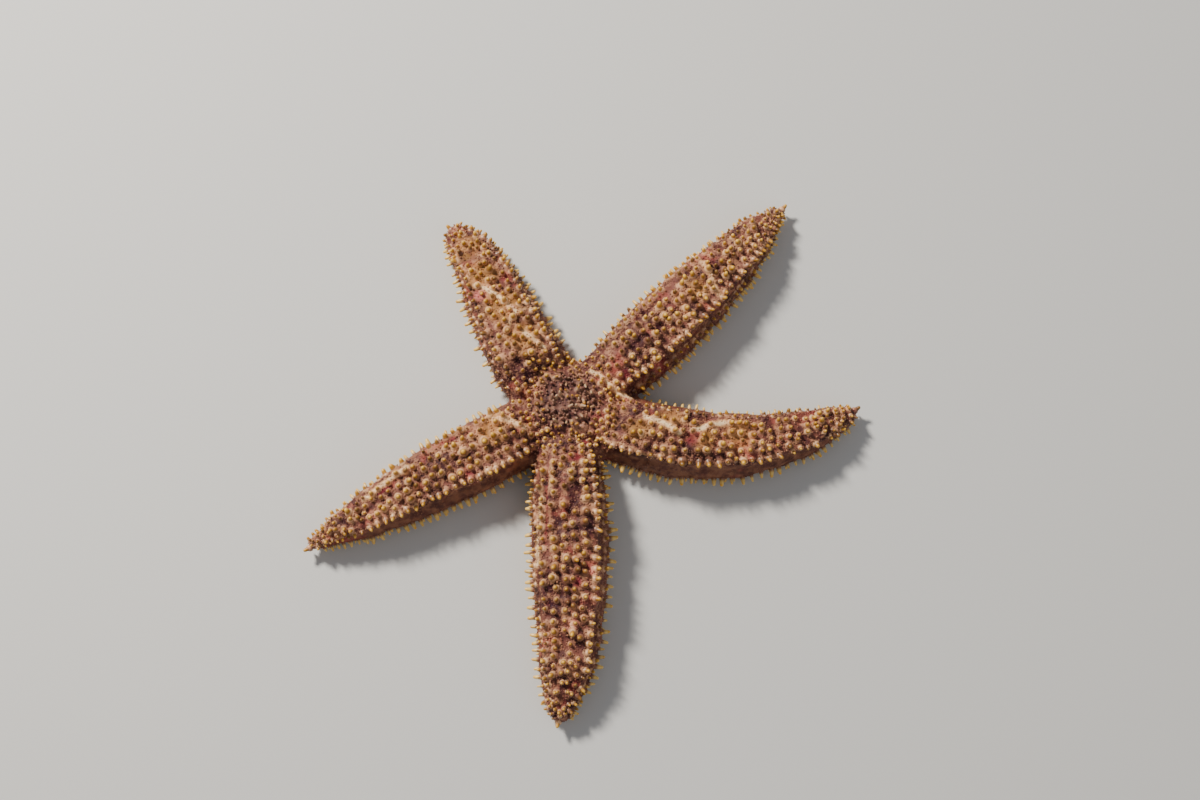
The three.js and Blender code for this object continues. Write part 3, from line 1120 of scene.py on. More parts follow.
# How seats in a row vary. The first in a row are young, and a few are large.
growth = {
    "castFrom": 6,
    "castLength": 16,
    "farthest": 2.8,
    "follow": 0.6,
    "sizes": (0.74, 1.16),
    "shapes": (0.92, 1.08),
    "pitches": (0.8, 1.2),
    "youngest": 0.62,
    "young": (-2, 14),
    "largeSize": 1.22,
    "lastAt": 0.985,
    "missing": 0.04,
    "smallest": 0.6,
    "slopeStep": 0.04,
    "arcStep": 5,
}


# A seat on the skin near a point, found along the way that the part there faces
def seatOn(point, outward, grow, patch, lean):
    cast = outward * growth["castFrom"] * mm
    hit, normal, _, _ = skinTree.ray_cast(point + cast, -outward, growth["castLength"] * mm)
    if hit is None or (hit - point).length > growth["farthest"] * mm:
        return None
    wander = randomTurn(lean)
    up = (normal * growth["follow"] + outward * (1 - growth["follow"]) + wander).normalized()
    sizes = [grow * random.uniform(*growth["shapes"]) for _ in range(3)]
    return seatAt(hit, up, sizes, patch)


# The dome's cross section, from the back down to its widest
def domeArc(arm, t):
    return [domePoint(arm, t, degrees) for degrees in range(90, -1, -growth["arcStep"])]


def lengthOf(points):
    return sum(math.dist(a, b) for a, b in zip(points, points[1:]))


# A point on half of a section, the way it faces, and its place on the unrolled arm
def sectionSeat(arm, t, section, share, sign, faceUp):
    side, up = pointAlong(section, share)
    nextSide, nextUp = pointAlong(section, min(1.0, share + growth["slopeStep"]))
    lastSide, lastUp = pointAlong(section, max(0.0, share - growth["slopeStep"]))
    slopeSide, slopeUp = nextSide - lastSide, nextUp - lastUp
    point = armPoint(arm, t, sign * side, up)
    outward = armPoint(arm, t, sign * (side - slopeUp), up + slopeSide) - point
    if not faceUp:
        outward = -outward
    return point, outward.normalized(), mapPlace(t, sign * mapSide(share, faceUp))


# Spines are smaller where the arm is narrow
def localSize(arm, t):
    smallest = growth["smallest"]
    return smallest + (1 - smallest) * min(1.0, halfWidth(arm, t) / arm["halfWidth"][1])


spines = {
    "profile": (
        (0, -0.9), (2.0, -0.3), (1.8, 1.1), (1.36, 1.6), (1.12, 1.9), (1.0, 3.0), (0.68, 3.85), (0, 4.15),
    ),
    "sides": 8,
    "leans": (0.1, 0.35, 0.6, 0.95),
    "wobble": 0.12,
    "moundRadius": 2.35,
    "moundHeight": 1.45,
    "haloAt": 1.9,
    "haloWidth": 0.6,
    "rowsAt": (0.2, 0.6),
    "bellyAt": 0.4,
    "furrowLimit": 1.9,
    "row": {
        "pitch": 4.9,
        "firstAt": 16,
        "wander": 1.1,
        "missing": 0.06,
        "size": 1,
        "lean": 0.16,
        "large": 0.08,
    },
    "shoulder": {"pitch": 4.3, "firstAt": 20, "wander": 0.4},
    "side": {"wander": 0.8, "size": 0.85},
}
pegs = {
    "profile": (
        (0, -1.0), (1.45, -0.7), (1.3, 0.4), (1.0, 1.6), (0.86, 2.8), (0.6, 3.65), (0, 3.95),
    ),
    "sides": 8,
    "leans": (0.1, 0.5),
    "wobble": 0.06,
    "row": {"pitch": 4.3, "firstAt": 24, "wander": 0.3, "size": 1, "lean": 0.1},
    "droop": -0.15,
    "lowerRow": {"size": 0.75, "lean": 0.06},
    "lowerAt": 0.93,
}


# A row of seats along an arm, at a share of the way round the section
def rowSeats(arm, section, share, sign, row, faceUp=True):
    seats = []
    youngFrom, youngTo = [row["firstAt"] + step for step in growth["young"]]
    along = row["firstAt"] + random.uniform(0, row["pitch"])
    while along < growth["lastAt"] * arm["length"]:
        t = along / arm["length"]
        scale = localSize(arm, t)
        arc = section(arm, t)
        if random.random() > row.get("missing", growth["missing"]):
            place = min(1.0, max(0.0, share + random.uniform(-1, 1) * row["wander"] / lengthOf(arc)))
            point, outward, patch = sectionSeat(arm, t, arc, place, sign, faceUp)
            outward = (outward + Vector((0, 0, row.get("droop", 0)))).normalized()
            scale *= growth["youngest"] + (1 - growth["youngest"]) * smoothStep(youngFrom, youngTo, along)
            grow = row["size"] * scale * random.uniform(*growth["sizes"])
            if random.random() < row.get("large", 0):
                grow *= growth["largeSize"]
            seats.append(seatOn(point, outward, grow, patch, row["lean"]))
        along += row["pitch"] * scale * random.uniform(*growth["pitches"])
    return [seat for seat in seats if seat]


def farSize(arm, sign):
    return arm["farSpines"] if sign == 1 else 1


def backSeats(arm):
    row = spines["row"]
    belly = domeArc(arm, spines["bellyAt"])
    steps = round((90 - skin["shoulderAt"]) / growth["arcStep"])
    shoulderShare = lengthOf(belly[: steps + 1]) / lengthOf(belly)
    seats = []
    for sign in (1, -1):
        for part in spines["rowsAt"]:
            seats += rowSeats(arm, domeArc, part * shoulderShare, sign, row)
        shoulder = {**row, **spines["shoulder"], "size": farSize(arm, sign)}
        seats += rowSeats(arm, domeArc, shoulderShare, sign, shoulder)
        if arm["spinyBand"]:
            halfDown = 0.5 * (shoulderShare + 1)
            seats += rowSeats(arm, domeArc, halfDown, sign, {**shoulder, **spines["side"]})
    return seats


# Spines stay out of the deepest stretch of the furrow round the disc
def inFurrow(spot):
    return creaseDepth(spot[None])[0] > spines["furrowLimit"]


# One row of pegs along each edge of an arm, and a row of smaller ones just under it
def marginSeats(arm):
    row = pegs["row"]
    seats = []
    for sign in (1, -1):
        edge = {**row, "droop": pegs["droop"], "size": farSize(arm, sign)}
        seats += rowSeats(arm, domeArc, 1, sign, edge)
        seats += rowSeats(arm, underPoints, pegs["lowerAt"], sign, {**row, **pegs["lowerRow"]}, False)
    return seats


disc = {
    "profile": ((0, -0.8), (1.0, -0.2), (0.76, 0.6), (0.56, 1.3), (0.58, 2.0), (0.38, 2.45), (0, 2.55)),
    "sides": 7,
    "leans": (0.3, 0.8, 1.3),
    "wobble": 0.25,
    "moundRadius": 1.2,
    "moundHeight": 0.85,
    "haloAt": 1.2,
    "haloWidth": 0.5,
    "tries": 12000,
    "castFrom": 40,
    "spacing": (2.5, 3.6),
    "spacings": (0.85, 1.15),
    "pitSize": 4.0,
    "pitLimit": -0.14,
    "edge": (13, 17),
    "radius": 26,
    "gap": 2.7,
    "buttonGap": 1.3,
    "steepest": 0.5,
    "upright": 0.6,
    "wander": 0.4,
    "ringSize": (0.62, 0.92),
    "size": (0.85, 1.35),
    "oval": (1, 1.3),
    "tall": (0.8, 1.15),
}
button = {
    "bearing": -58,
    "distance": 15.5,
    "radius": 2.6,
    "profile": (
        (0, 1.15), (0.5, 1.12), (1.0, 1.05), (1.5, 0.93), (1.95, 0.72),
        (2.3, 0.42), (2.5, 0.0), (2.55, -0.8), (0, -0.8),
    ),
    "sides": 96,
    "grooves": 16,
    "grooveDepth": 0.3,
    "grooveWander": 1.5,
    "grooveTwist": 0.9,
    "smoothMiddle": 0.4,
}
bearing = math.radians(button["bearing"])
buttonSpot = centre + Vector((math.cos(bearing), math.sin(bearing), 0)) * button["distance"] * mm


# Seats strewn over the disc: close and small in its middle, wider apart in the ring round it
def discSeats(taken):
    middle, ring, spots = [], [], []
    for _ in range(disc["tries"]):
        angle = random.uniform(0, 2 * math.pi)
        reach = disc["radius"] * math.sqrt(random.random())
        flat = np.array(star["discCentre"]) + reach * np.array((math.cos(angle), math.sin(angle)))
        isRing = reach > random.uniform(*disc["edge"])
        isPit = noise.noise(Vector((*flat, 0)) / disc["pitSize"]) < disc["pitLimit"]
        spacing = disc["spacing"][isRing] * random.uniform(*disc["spacings"])
        if spots and np.linalg.norm(np.array(spots) - flat, axis=1).min() < spacing:
            continue
        fromButton = math.dist(flat * mm, buttonSpot.xy) / mm
        gap = np.linalg.norm(taken[:, :2] / mm - flat, axis=1).min()
        hit, normal, _, _ = skinTree.ray_cast(Vector((*flat, disc["castFrom"])) * mm, Vector((0, 0, -1)))
        if hit is None or normal.z < disc["steepest"] or gap < disc["gap"]:
            continue
        if fromButton < button["radius"] + disc["buttonGap"] or (isPit and not isRing):
            continue
        spots.append(flat)
        grow = random.uniform(*disc["ringSize" if isRing else "size"])
        up = (normal + Vector((0, 0, disc["upright"])) + randomTurn(disc["wander"])).normalized()
        patch = [0.5 + turn(angle) * reach / bakeMap["discScale"] for turn in (math.cos, math.sin)]
        oval = 1 if isRing else random.uniform(*disc["oval"])
        size = (grow * oval, grow / oval**0.5, grow * random.uniform(*disc["tall"]))
        (ring if isRing else middle).append(seatAt(hit, up, size, patch))
    return middle, ring


random.seed(11)
spineShapes, pegShapes, discShapes = [
    [turnShape(kind["profile"], kind["sides"], lean, kind["wobble"]) for lean in kind["leans"]]
    for kind in (spines, pegs, disc)
]
nub = nubShape()
coatPieces = []
backSeatsOf = {}
for armName, arm in star["arms"].items():
    backSeatsOf[armName] = [seat for seat in backSeats(arm) if not inFurrow(seat["spot"])]
    coatPieces.append(plant(armName + "Spines", deal(spineShapes, backSeatsOf[armName]), spineMaterial))
    coatPieces.append(plant(armName + "Pegs", deal(pegShapes, marginSeats(arm)), pegMaterial))
allBackSeats = [seat for seats in backSeatsOf.values() for seat in seats]
discSpineSeats, ringSeats = discSeats(np.array([seat["spot"] for seat in allBackSeats]))
coatPieces.append(plant("discSpines", deal(discShapes, discSpineSeats), discSpineMaterial))
coatPieces.append(plant("ringSpines", deal(spineShapes, ringSeats), spineMaterial))
print("spines ready:", len(allBackSeats), "on the arms and", len(discSpineSeats), "on the disc")


def treeOf(spots):
    tree = KDTree(len(spots))
    for index, spot in enumerate(spots):
        tree.insert(spot, index)
    tree.balance()
    return tree


# The skin swells into a soft cushion round the foot of each spine, as wide as the spine is big
def raiseMounds(seats, kind):
    tree = treeOf([seat["spot"].tolist() for seat in seats])
    found = gather(seats)
    sizes, tones = np.linalg.norm(found["axes"][:, :, 2], axis=1), found["tone"]
    points = meshPoints(skinPiece.data)
    normals = meshNormals(skinPiece.data)
    rise, halo = np.zeros(len(points)), np.zeros(len(points))
    for i, point in enumerate(points.tolist()):
        _, nearest, distance = tree.find(point)
        size = sizes[nearest]
        away = distance / (size * mm)
        rise[i] = size * bell(away, kind["moundRadius"])
        halo[i] = tones[nearest] * bell(away - kind["haloAt"], kind["haloWidth"])
    points += normals * (rise * kind["moundHeight"] * mm)[:, None]
    setPoints(skinPiece.data, points)
    return np.minimum(rise, 1), halo


def markSkin(name, values):
    layer = skinPiece.data.attributes.new(name, "FLOAT", "POINT")
    layer.data.foreach_set("value", values.astype(np.float32))


armCushion, halo = raiseMounds(allBackSeats + ringSeats, spines)
discCushion, _ = raiseMounds(discSpineSeats, disc)
skinSpots, skinUpward = meshPoints(skinPiece.data), meshNormals(skinPiece.data)[:, 2]
markSkin("cushion", np.maximum(armCushion, discCushion))
markSkin("halo", halo)
for lines in ("crests", "redLines"):
    markSkin(lines, lineMark(skinSpots, skinUpward, lines))
markSkin("band", bandShare(skinSpots))
markSkin("down", np.maximum(-skinUpward, 0))

# Soft nubs: a wreath of them round the feet of most spines, and others strewn between the spines.
# Where the skin is bare they are fewer, flatter and smaller.
nubs = {
    "wreath": 5,
    "wreathRadius": 2.45,
    "wreathHeight": 0.5,
    "wreathSize": 0.46,
    "wreathTurn": 0.25,
    "wreathRadii": (0.88, 1.12),
    "wreathHeights": (0.5, 1.3),
    "wreathSizes": (0.75, 1.2),
    "wreathTall": (0.9, 1.5),
    "wreathSplay": 0.5,
    "wreathTone": {"least": 0.35, "fromSpine": 0.45, "wander": (-0.15, 0.25)},
    "spacing": 1.15,
    "footGap": 2.3,
    "tries": 60000,
    "size": 0.46,
    "sizes": (0.7, 1.25),
    "lean": 0.3,
    "tall": (0.6, 1.3),
    "tones": (0, 0.75),
    "bareBand": 0.5,
    "bareFacing": 0.1,
    "bareSize": 0.65,
    "bareTall": (0.5, 0.8),
    "bareSkipped": 0.6,
}


def wreathSeats(seats):
    ring = []
    toneOf = nubs["wreathTone"]
    for seat in seats:
        axes = Matrix(seat["axes"].tolist())
        for step in range(nubs["wreath"]):
            turn = step + random.uniform(-nubs["wreathTurn"], nubs["wreathTurn"])
            angle = 2 * math.pi * turn / nubs["wreath"]
            radius = nubs["wreathRadius"] * random.uniform(*nubs["wreathRadii"])
            height = nubs["wreathHeight"] * random.uniform(*nubs["wreathHeights"])
            place = Vector((radius * math.cos(angle), radius * math.sin(angle), height))
            spot = Vector(seat["spot"].tolist()) + axes @ place * mm
            splay = nubs["wreathSplay"]
            up = (axes @ Vector((place.x * splay, place.y * splay, 1))).normalized()
            grow = nubs["wreathSize"] * axes.col[0].length * random.uniform(*nubs["wreathSizes"])
            tone = toneOf["least"] + toneOf["fromSpine"] * seat["tone"] + random.uniform(*toneOf["wander"])
            size = (grow, grow, grow * random.uniform(*nubs["wreathTall"]))
            ring.append(seatAt(spot, up, size, seat["patch"], tone))
    return ring


# Points strewn evenly over the skin, and the way that the skin faces at each
def strewPoints():
    mesh = skinPiece.data
    mesh.calc_loop_triangles()
    corners = np.empty(len(mesh.loop_triangles) * 3, dtype=np.int32)
    mesh.loop_triangles.foreach_get("vertices", corners)
    triangles = meshPoints(mesh)[corners.reshape(-1, 3)]
    cross = np.cross(triangles[:, 1] - triangles[:, 0], triangles[:, 2] - triangles[:, 0])
    area = np.linalg.norm(cross, axis=1)
    draw = np.random.default_rng(5)
    chosen = draw.choice(len(area), nubs["tries"], p=area / area.sum())
    a, b = draw.random((2, len(chosen), 1))
    folded = (a + b) > 1
    a, b = np.where(folded, 1 - a, a), np.where(folded, 1 - b, b)
    corner = triangles[chosen]
    spots = corner[:, 0] * (1 - a - b) + corner[:, 1] * a + corner[:, 2] * b
    return spots, cross[chosen] / area[chosen, None]


# Which spots to keep, so that no two are closer than the spacing and none is in a spine's foot
def thinOut(spots, feet, clearances):
    tree = treeOf(feet)
    gap = nubs["spacing"] * mm
    cells, kept = {}, []
    steps = [(i, j, k) for i in (-1, 0, 1) for j in (-1, 0, 1) for k in (-1, 0, 1)]
    for index, spot in enumerate(spots.tolist()):
        x, y, z = [math.floor(value / gap) for value in spot]
        near = (cells.get((x + i, y + j, z + k)) for i, j, k in steps)
        if any(other and math.dist(other, spot) < gap for other in near):
            continue
        _, foot, distance = tree.find(spot)
        if distance > clearances[foot]:
            cells[x, y, z] = spot
            kept.append(index)
    return kept


# The place on the unrolled arm for points of the skin, and the arm that each is on
def unroll(spots, normals):
    which, share, side = armCoordinates(spots)
    ratio = np.array([s / halfWidth(arms[w], t) for w, t, s in zip(which, share, side)])
    ratio = np.clip(ratio, -1, 1)
    out = np.where(normals[:, 2] >= 0, mapSide(np.abs(ratio), True), mapSide(np.abs(ratio), False))
    return which, np.stack(mapPlace(share, np.sign(ratio) * out), axis=1)


def strewnSeats(spots, normals, patchAt, bandAt):
    seats = []
    for spot, normal, patch, band in zip(spots, normals, patchAt, bandAt):
        up = Vector(normal) + randomTurn(nubs["lean"])
        isBare = band > nubs["bareBand"] or normal[2] < nubs["bareFacing"]
        if isBare and random.random() < nubs["bareSkipped"]:
            continue
        grow = nubs["size"] * random.uniform(*nubs["sizes"]) * (nubs["bareSize"] if isBare else 1)
        size = (grow, grow, grow * random.uniform(*nubs["bareTall" if isBare else "tall"]))
        seats.append(seatAt(spot, up.normalized(), size, patch, random.uniform(*nubs["tones"]), band))
    return seats


allBulbs = gather(allBackSeats + ringSeats + discSpineSeats)
bulbSizes = np.linalg.norm(allBulbs["axes"][:, :, 0], axis=1)
strewn, strewnNormals = strewPoints()
kept = thinOut(strewn, allBulbs["spot"].tolist(), bulbSizes * nubs["footGap"] * mm)
strewn, strewnNormals = strewn[kept], strewnNormals[kept]
strewnArm, strewnPatches = unroll(strewn, strewnNormals)
strewnBand = bandShare(strewn)
for index, armName in enumerate(star["arms"]):
    mine = strewnArm == index
    seats = strewnSeats(strewn[mine], strewnNormals[mine], strewnPatches[mine], strewnBand[mine])
    seats += wreathSeats(backSeatsOf[armName])
    coatPieces.append(plant(armName + "Nubs", [(nub, gather(seats))], nubMaterial))
discWreaths = wreathSeats(discSpineSeats[::2] + ringSeats)
coatPieces.append(plant("discNubs", [(nub, gather(discWreaths))], nubMaterial))
print("nubs ready:", len(strewn), "strewn")

# Under the arms. Tube feet reach down from the groove nearly to the floor, needles stand in rows
# along its edges, and studs in rows between those and the margin.
under = {
    "footProfile": (
        (0, -0.06), (0.62, 0.0), (0.52, 0.3), (0.46, 0.7), (0.5, 0.87),
        (0.95, 0.94), (1.0, 0.98), (0.5, 1.0), (0, 0.97),
    ),
    "footSides": 8,
    "footRows": (-3.1, -1.25, 1.25, 3.1),
    "footFirstAt": 9,
    "footLastAt": 0.94,
    "footPitch": 2.7,
    "footPitches": (0.92, 1.08),
    "footPitchLeast": 0.6,
    "footRadius": 0.95,
    "footRadii": (0.85, 1.1),
    "footRadiusLeast": 0.5,
    "footSplay": 0.05,
    "needleProfile": ((0, -0.6), (0.56, -0.4), (0.56, 0.3), (0.48, 1.2), (0.5, 1.8), (0.28, 2.1), (0, 2.15)),
    "needleSides": 6,
    "needleRows": (0.29, 0.35),
    "needlePitch": 1.75,
    "needleSplay": 0.1,
    "studRows": (0.5, 0.64, 0.78),
    "studSize": 0.62,
    "studPitch": 3.6,
    "studReach": 4.25,
    "studSplay": 0.2,
    "rowFirstAt": 13,
    "rowLastAt": 0.95,
    "rowWander": 0.3,
    "rowSizes": (0.85, 1.12),
    "rowPitches": (0.88, 1.12),
    "lean": 0.05,
    "castLength": 14,
    "lowest": 0.06,
}
needleLength = under["needleProfile"][-1][1]


# The skin's underside over a spot on the floor
def skinOver(spot):
    return skinTree.ray_cast(spot, Vector((0, 0, 1)), under["castLength"] * mm)[0]


# How long a copy may be that stands on `hit` and leans `down`, so that it ends above the floor
def roomBelow(hit, down):
    return (hit.z / mm - under["lowest"]) / -down.z


# A seat under the body whose copy reaches down to just above the floor, or less
def hangingSeat(arm, t, side, radius, reachLength, splay, patch):
    spot = armPoint(arm, t, side, 0)
    hit = skinOver(spot)
    if hit is None:
        return None
    away = armPoint(arm, t, side + math.copysign(1, side), 0) - spot
    lean = Vector((random.uniform(-under["lean"], under["lean"]),) * 2 + (0,))
    down = Vector((0, 0, -1)) + away.normalized() * splay + lean
    down.normalize()
    room = roomBelow(hit, down)
    stretch = room if reachLength is None else min(1.0, room / reachLength)
    return seatAt(hit, down, (radius, radius, stretch), patch)


def footSeats(arm):
    seats = []
    leastRadius, leastPitch = under["footRadiusLeast"], under["footPitchLeast"]
    for number, side in enumerate(under["footRows"]):
        along = under["footFirstAt"] + under["footPitch"] * (number % 2) / 2
        while along < under["footLastAt"] * arm["length"]:
            t = along / arm["length"]
            scale = halfWidth(arm, t) / arm["halfWidth"][1]
            patch = mapPlace(t, math.copysign(bakeMap["feetAt"], side))
            narrow = leastRadius + (1 - leastRadius) * scale
            radius = under["footRadius"] * narrow * random.uniform(*under["footRadii"])
            seats.append(hangingSeat(arm, t, side * scale, radius, None, under["footSplay"], patch))
            closer = leastPitch + (1 - leastPitch) * scale
            along += under["footPitch"] * closer * random.uniform(*under["footPitches"])
    return seats


# Rows on both sides of an arm's underside, at a share of its half width
def lowerRowSeats(arm, share, pitch, size, reachLength, splay):
    seats = []
    for sign in (1, -1):
        along = under["rowFirstAt"] + random.uniform(0, pitch)
        while along < under["rowLastAt"] * arm["length"]:
            t = along / arm["length"]
            scale = localSize(arm, t)
            wander = random.uniform(-under["rowWander"], under["rowWander"])
            side = sign * share * halfWidth(arm, t) + wander
            patch = mapPlace(t, sign * mapSide(share, False))
            grow = size * scale * random.uniform(*under["rowSizes"])
            seats.append(hangingSeat(arm, t, side, grow, reachLength, splay, patch))
            along += pitch * scale * random.uniform(*under["rowPitches"])
    return seats


def needleSeats(arm):
    seats = []
    for share in under["needleRows"]:
        seats += lowerRowSeats(arm, share, under["needlePitch"], 1, needleLength, under["needleSplay"])
    return seats


def studSeats(arm):
    size = under["studSize"]
    reachLength = under["studReach"] * size
    seats = []
    for share in under["studRows"]:
        seats += lowerRowSeats(arm, share, under["studPitch"], size, reachLength, under["studSplay"])
    seats = [seat for seat in seats if seat]
    for seat in seats:
        seat["axes"][:, 2] *= size
    return seats


footShape = turnShape(under["footProfile"], under["footSides"])
needleShape = turnShape(under["needleProfile"], under["needleSides"])
for armName, arm in star["arms"].items():
    coatPieces.append(plant(armName + "TubeFeet", [(footShape, gather(footSeats(arm)))], footMaterial))
    batches = [(needleShape, gather(needleSeats(arm))), (pegShapes[0], gather(studSeats(arm)))]
    coatPieces.append(plant(armName + "UnderSpines", batches, pegMaterial))
print("underside ready")


# A shape in mm as a piece that stands on a spot, facing `up`
def placeMesh(bm, spot, up, name, material):
    turn = Vector((0, 0, 1)).rotation_difference(up)
    for vert in bm.verts:
        vert.co = spot + turn @ (vert.co * mm)
    bmesh.ops.recalc_face_normals(bm, faces=bm.faces)
    piece = finishMesh(bm, name)
    piece.data.materials.append(material)
    return piece


# The madreporite, a pale button with wandering grooves from its middle to its edge
def makeButton():
    bm = spinProfile(button["profile"], button["sides"])
    for vert in bm.verts:
        angle = math.atan2(vert.co.y, vert.co.x)
        radius = vert.co.xy.length
        if radius > button["smoothMiddle"] and vert.co.z > 0:
            wander = button["grooveWander"] * math.sin(3 * angle) + button["grooveTwist"] * radius
            wave = math.cos(angle * button["grooves"] + wander)
            vert.co.z -= button["grooveDepth"] * (0.5 + 0.5 * wave)
    above = buttonSpot + Vector((0, 0, disc["castFrom"] * mm))
    hit, normal, _, _ = skinTree.ray_cast(above, Vector((0, 0, -1)))
    return placeMesh(bm, hit, normal, "madreporite", plainMaterial("madreporite", "button", 0.55))


mouth = {
    "profile": (
        (0, 5.8), (0.9, 5.6), (1.3, 4.6), (2.0, 3.8), (3.0, 3.6),
        (4.2, 4.1), (5.3, 5.2), (5.6, 7.5), (0, 7.5),
    ),
    "sides": 80,
    "folds": 20,
    "foldDepth": 0.25,
    "foldSpan": (1.2, 4.5),
    "foldTop": 6,
    "jawRadius": 7.4,
    "jawSpines": (-1.9, -0.65, 0.65, 1.9),
    "jawSize": 1.15,
    "jawReach": 2.6,
    "jawLean": 0.55,
}


# The soft lips under the disc, folded round the closed mouth
def makeMouth():
    bm = spinProfile(mouth["profile"], mouth["sides"])
    inner, outer = mouth["foldSpan"]
    for vert in bm.verts:
        angle = math.atan2(vert.co.y, vert.co.x)
        if inner < vert.co.xy.length < outer and vert.co.z < mouth["foldTop"]:
            vert.co.z += mouth["foldDepth"] * math.cos(mouth["folds"] * angle)
    return placeMesh(bm, centre, Vector((0, 0, 1)), "mouth", plainMaterial("lips", "lips", 0.4))


# Spines of the five jaws, which stand between the arms and lean in over the mouth
def jawSeats():
    headings = sorted(arm["heading"][0] % 360 for arm in arms)
    size = mouth["jawSize"]
    seats = []
    for first, second in zip(headings, headings[1:] + [headings[0] + 360]):
        bearing = math.radians((first + second) / 2)
        outward = Vector((math.cos(bearing), math.sin(bearing), 0))
        sideways = Vector((-outward.y, outward.x, 0))
        patch = [0.5 + value * bakeMap["mouthScale"] for value in outward.xy]
        down = (Vector((0, 0, -1)) - outward * mouth["jawLean"]).normalized()
        for offset in mouth["jawSpines"]:
            hit = skinOver(centre + (outward * mouth["jawRadius"] + sideways * offset) * mm)
            if hit:
                stretch = min(mouth["jawReach"], roomBelow(hit, down)) / needleLength
                seats.append(seatAt(hit, down, (size, size, stretch), patch))
    return seats


tips = {
    "knobUp": 0.65,
    "knobSize": 0.95,
    "knobTilt": 0.5,
    "eyeUp": 0.3,
    "eyeSize": 0.75,
    "eyeTilt": -0.25,
    "feelerUp": 0.1,
    "feelerSize": 0.55,
    "feelerLength": 2.2,
    "feelerTilt": -0.9,
    "feelerAngles": (-28, 0, 28),
    "castFrom": 6,
}


# A seat on the end of an arm, at a share of the way up it, that faces ahead and up by `tilt`
def endSeat(arm, share, degrees, tilt, size):
    _, _, angle = arm["line"][lineSteps]
    ahead = Vector((math.cos(angle), math.sin(angle), 0))
    level = star["clearance"] + share * (armHeight(arm, 1) - star["clearance"]) + tipLift(1)
    start = armPoint(arm, 1, 0, level) + ahead * tips["castFrom"] * mm
    hit, _, _, _ = skinTree.ray_cast(start, -ahead)
    if hit is None:
        return None
    way = Quaternion((0, 0, 1), math.radians(degrees)) @ ahead + Vector((0, 0, tilt))
    return seatAt(hit, way.normalized(), size, bakeMap["armEnd"])


# What ends an arm: a knob, the red eyespot under it and three slender feelers
def tipSeats(arm):
    knob = endSeat(arm, tips["knobUp"], 0, tips["knobTilt"], (tips["knobSize"],) * 3)
    eye = endSeat(arm, tips["eyeUp"], 0, tips["eyeTilt"], (tips["eyeSize"],) * 3)
    size = (tips["feelerSize"], tips["feelerSize"], tips["feelerLength"])
    up, tilt = tips["feelerUp"], tips["feelerTilt"]
    feelers = [endSeat(arm, up, turn, tilt, size) for turn in tips["feelerAngles"]]
    return knob, eye, feelers


armEnds = [tipSeats(arm) for arm in arms]
knobs = [knob for knob, _, _ in armEnds]
eyes = [eye for _, eye, _ in armEnds]
feelers = [feeler for _, _, found in armEnds for feeler in found]
jaws = jawSeats()
coatPieces.append(plant("tipKnobs", [(spineShapes[0], gather(knobs))], spineMaterial))
coatPieces.append(plant("tipEyespots", [(nub, gather(eyes))], plainMaterial("eyespot", "eyespot", 0.3)))
coatPieces.append(plant("tipFeelers", [(footShape, gather(feelers))], footMaterial))
coatPieces.append(plant("jawSpines", [(needleShape, gather(jaws))], pegMaterial))
buttonPiece = makeButton()
mouthPiece = makeMouth()
tipCount = sum(bool(seat) for seat in knobs + eyes + feelers)
print("ends ready:", tipCount, "tip pieces,", len(jaws), "jaw spines")

# Camera and lights. starRight and starUp are where the middle of the disc is in the view, in mm.
studio = {
    "focalLength": 50,
    "sensorWidth": 36,
    "cameraElevation": 76,
    "cameraDistance": 813,
    "starRight": -16.1,
    "starUp": -2.4,
    "starLevel": 12,
    "floorSize": 3,
    "floorDrop": 0.0002,
    "floorColour": (0.6, 0.6, 0.6),
    "floorRoughness": 0.8,
    "worldColour": (0.97, 0.98, 1.0),
    "worldStrength": 0.26,
    "keyPlace": (-0.85, 0.85, 1.15),
    "keySize": 0.3,
    "keyPower": 50,
    "keyColour": (1, 0.94, 0.84),
    "fillPlace": (0.9, -0.7, 1.1),
    "fillSize": 1.2,
    "fillPower": 3,
    "fillColour": (1, 1, 1),
}


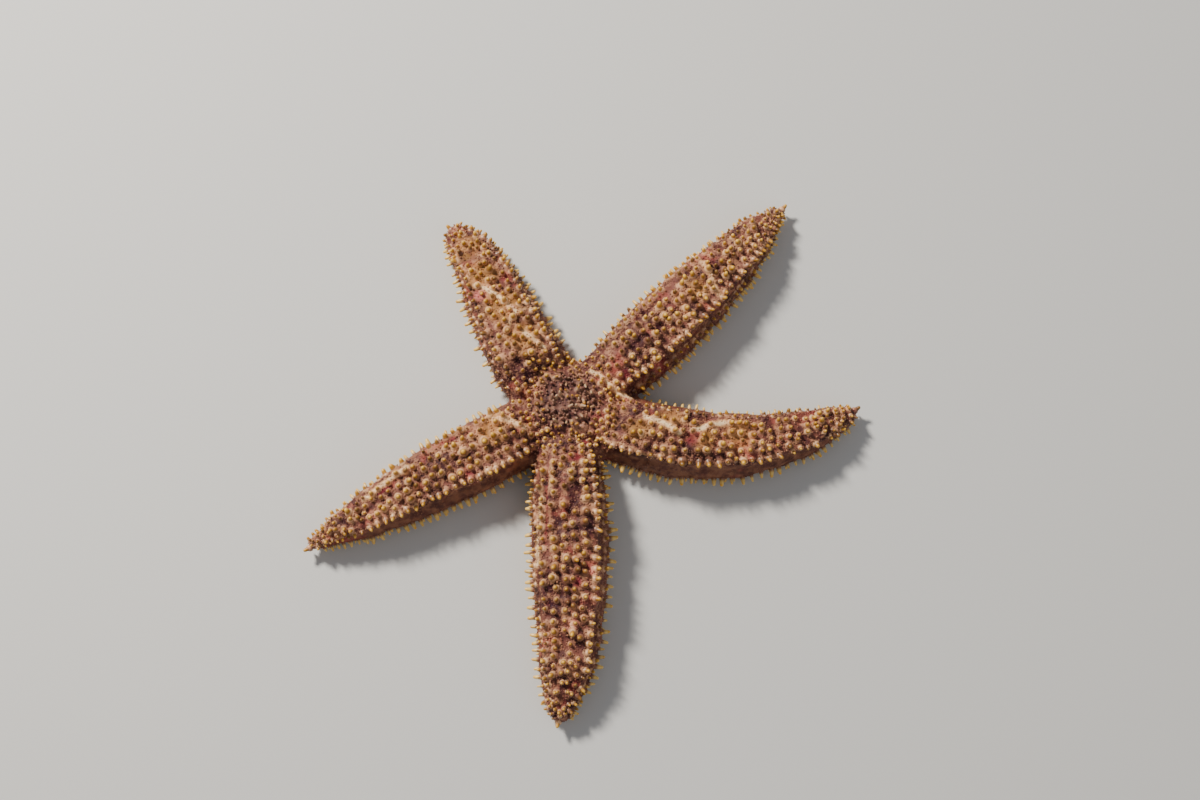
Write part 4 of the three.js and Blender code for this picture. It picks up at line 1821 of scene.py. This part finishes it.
def makeCamera():
    data = bpy.data.cameras.new("camera")
    data.lens = studio["focalLength"]
    data.sensor_width = studio["sensorWidth"]
    camera = bpy.data.objects.new("camera", data)
    bpy.context.collection.objects.link(camera)
    tilt = math.radians(studio["cameraElevation"])
    back = Vector((0, -math.cos(tilt), math.sin(tilt)))
    up = Vector((0, math.sin(tilt), math.cos(tilt)))
    aim = centre + Vector((0, 0, studio["starLevel"] * mm))
    aim -= Vector((studio["starRight"] * mm, 0, 0)) + up * studio["starUp"] * mm
    camera.location = aim + back * studio["cameraDistance"] * mm
    camera.rotation_euler = (math.pi / 2 - tilt, 0, 0)
    bpy.context.scene.camera = camera


# A round lamp that is aimed from its place at the middle of the floor
def addLight(name):
    place = studio[name + "Place"]
    data = bpy.data.lights.new(name, "AREA")
    data.shape = "DISK"
    data.size = studio[name + "Size"]
    data.energy = studio[name + "Power"]
    data.color = studio[name + "Colour"]
    light = bpy.data.objects.new(name, data)
    light.location = place
    light.rotation_euler = Vector(place).to_track_quat("Z", "Y").to_euler()
    bpy.context.collection.objects.link(light)


def makeFloor():
    bm = bmesh.new()
    bmesh.ops.create_grid(bm, x_segments=1, y_segments=1, size=studio["floorSize"])
    floor = finishMesh(bm, "floor")
    floor.location.z = -studio["floorDrop"]
    material = bpy.data.materials.new("floorPaint")
    material.use_nodes = True
    surface = material.node_tree.nodes["Principled BSDF"]
    surface.inputs["Base Color"].default_value = (*studio["floorColour"], 1)
    surface.inputs["Roughness"].default_value = studio["floorRoughness"]
    floor.data.materials.append(material)


def makeWorld():
    world = bpy.data.worlds.new("studio")
    world.use_nodes = True
    background = world.node_tree.nodes["Background"]
    background.inputs["Color"].default_value = (*studio["worldColour"], 1)
    background.inputs["Strength"].default_value = studio["worldStrength"]
    bpy.context.scene.world = world


makeFloor()
makeWorld()
addLight("key")
addLight("fill")
makeCamera()
print("studio ready")

fleshNodes = [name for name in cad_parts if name.startswith("arm_") or name == "disc"]
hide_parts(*fleshNodes)
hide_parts("madreporite")
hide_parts("mouth")
slots = {piece: "skin" for piece in [skinPiece] + coatPieces}
slots.update({buttonPiece: "madreporite", mouthPiece: "mouth"})
for piece, slot in slots.items():
    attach(piece, "root")
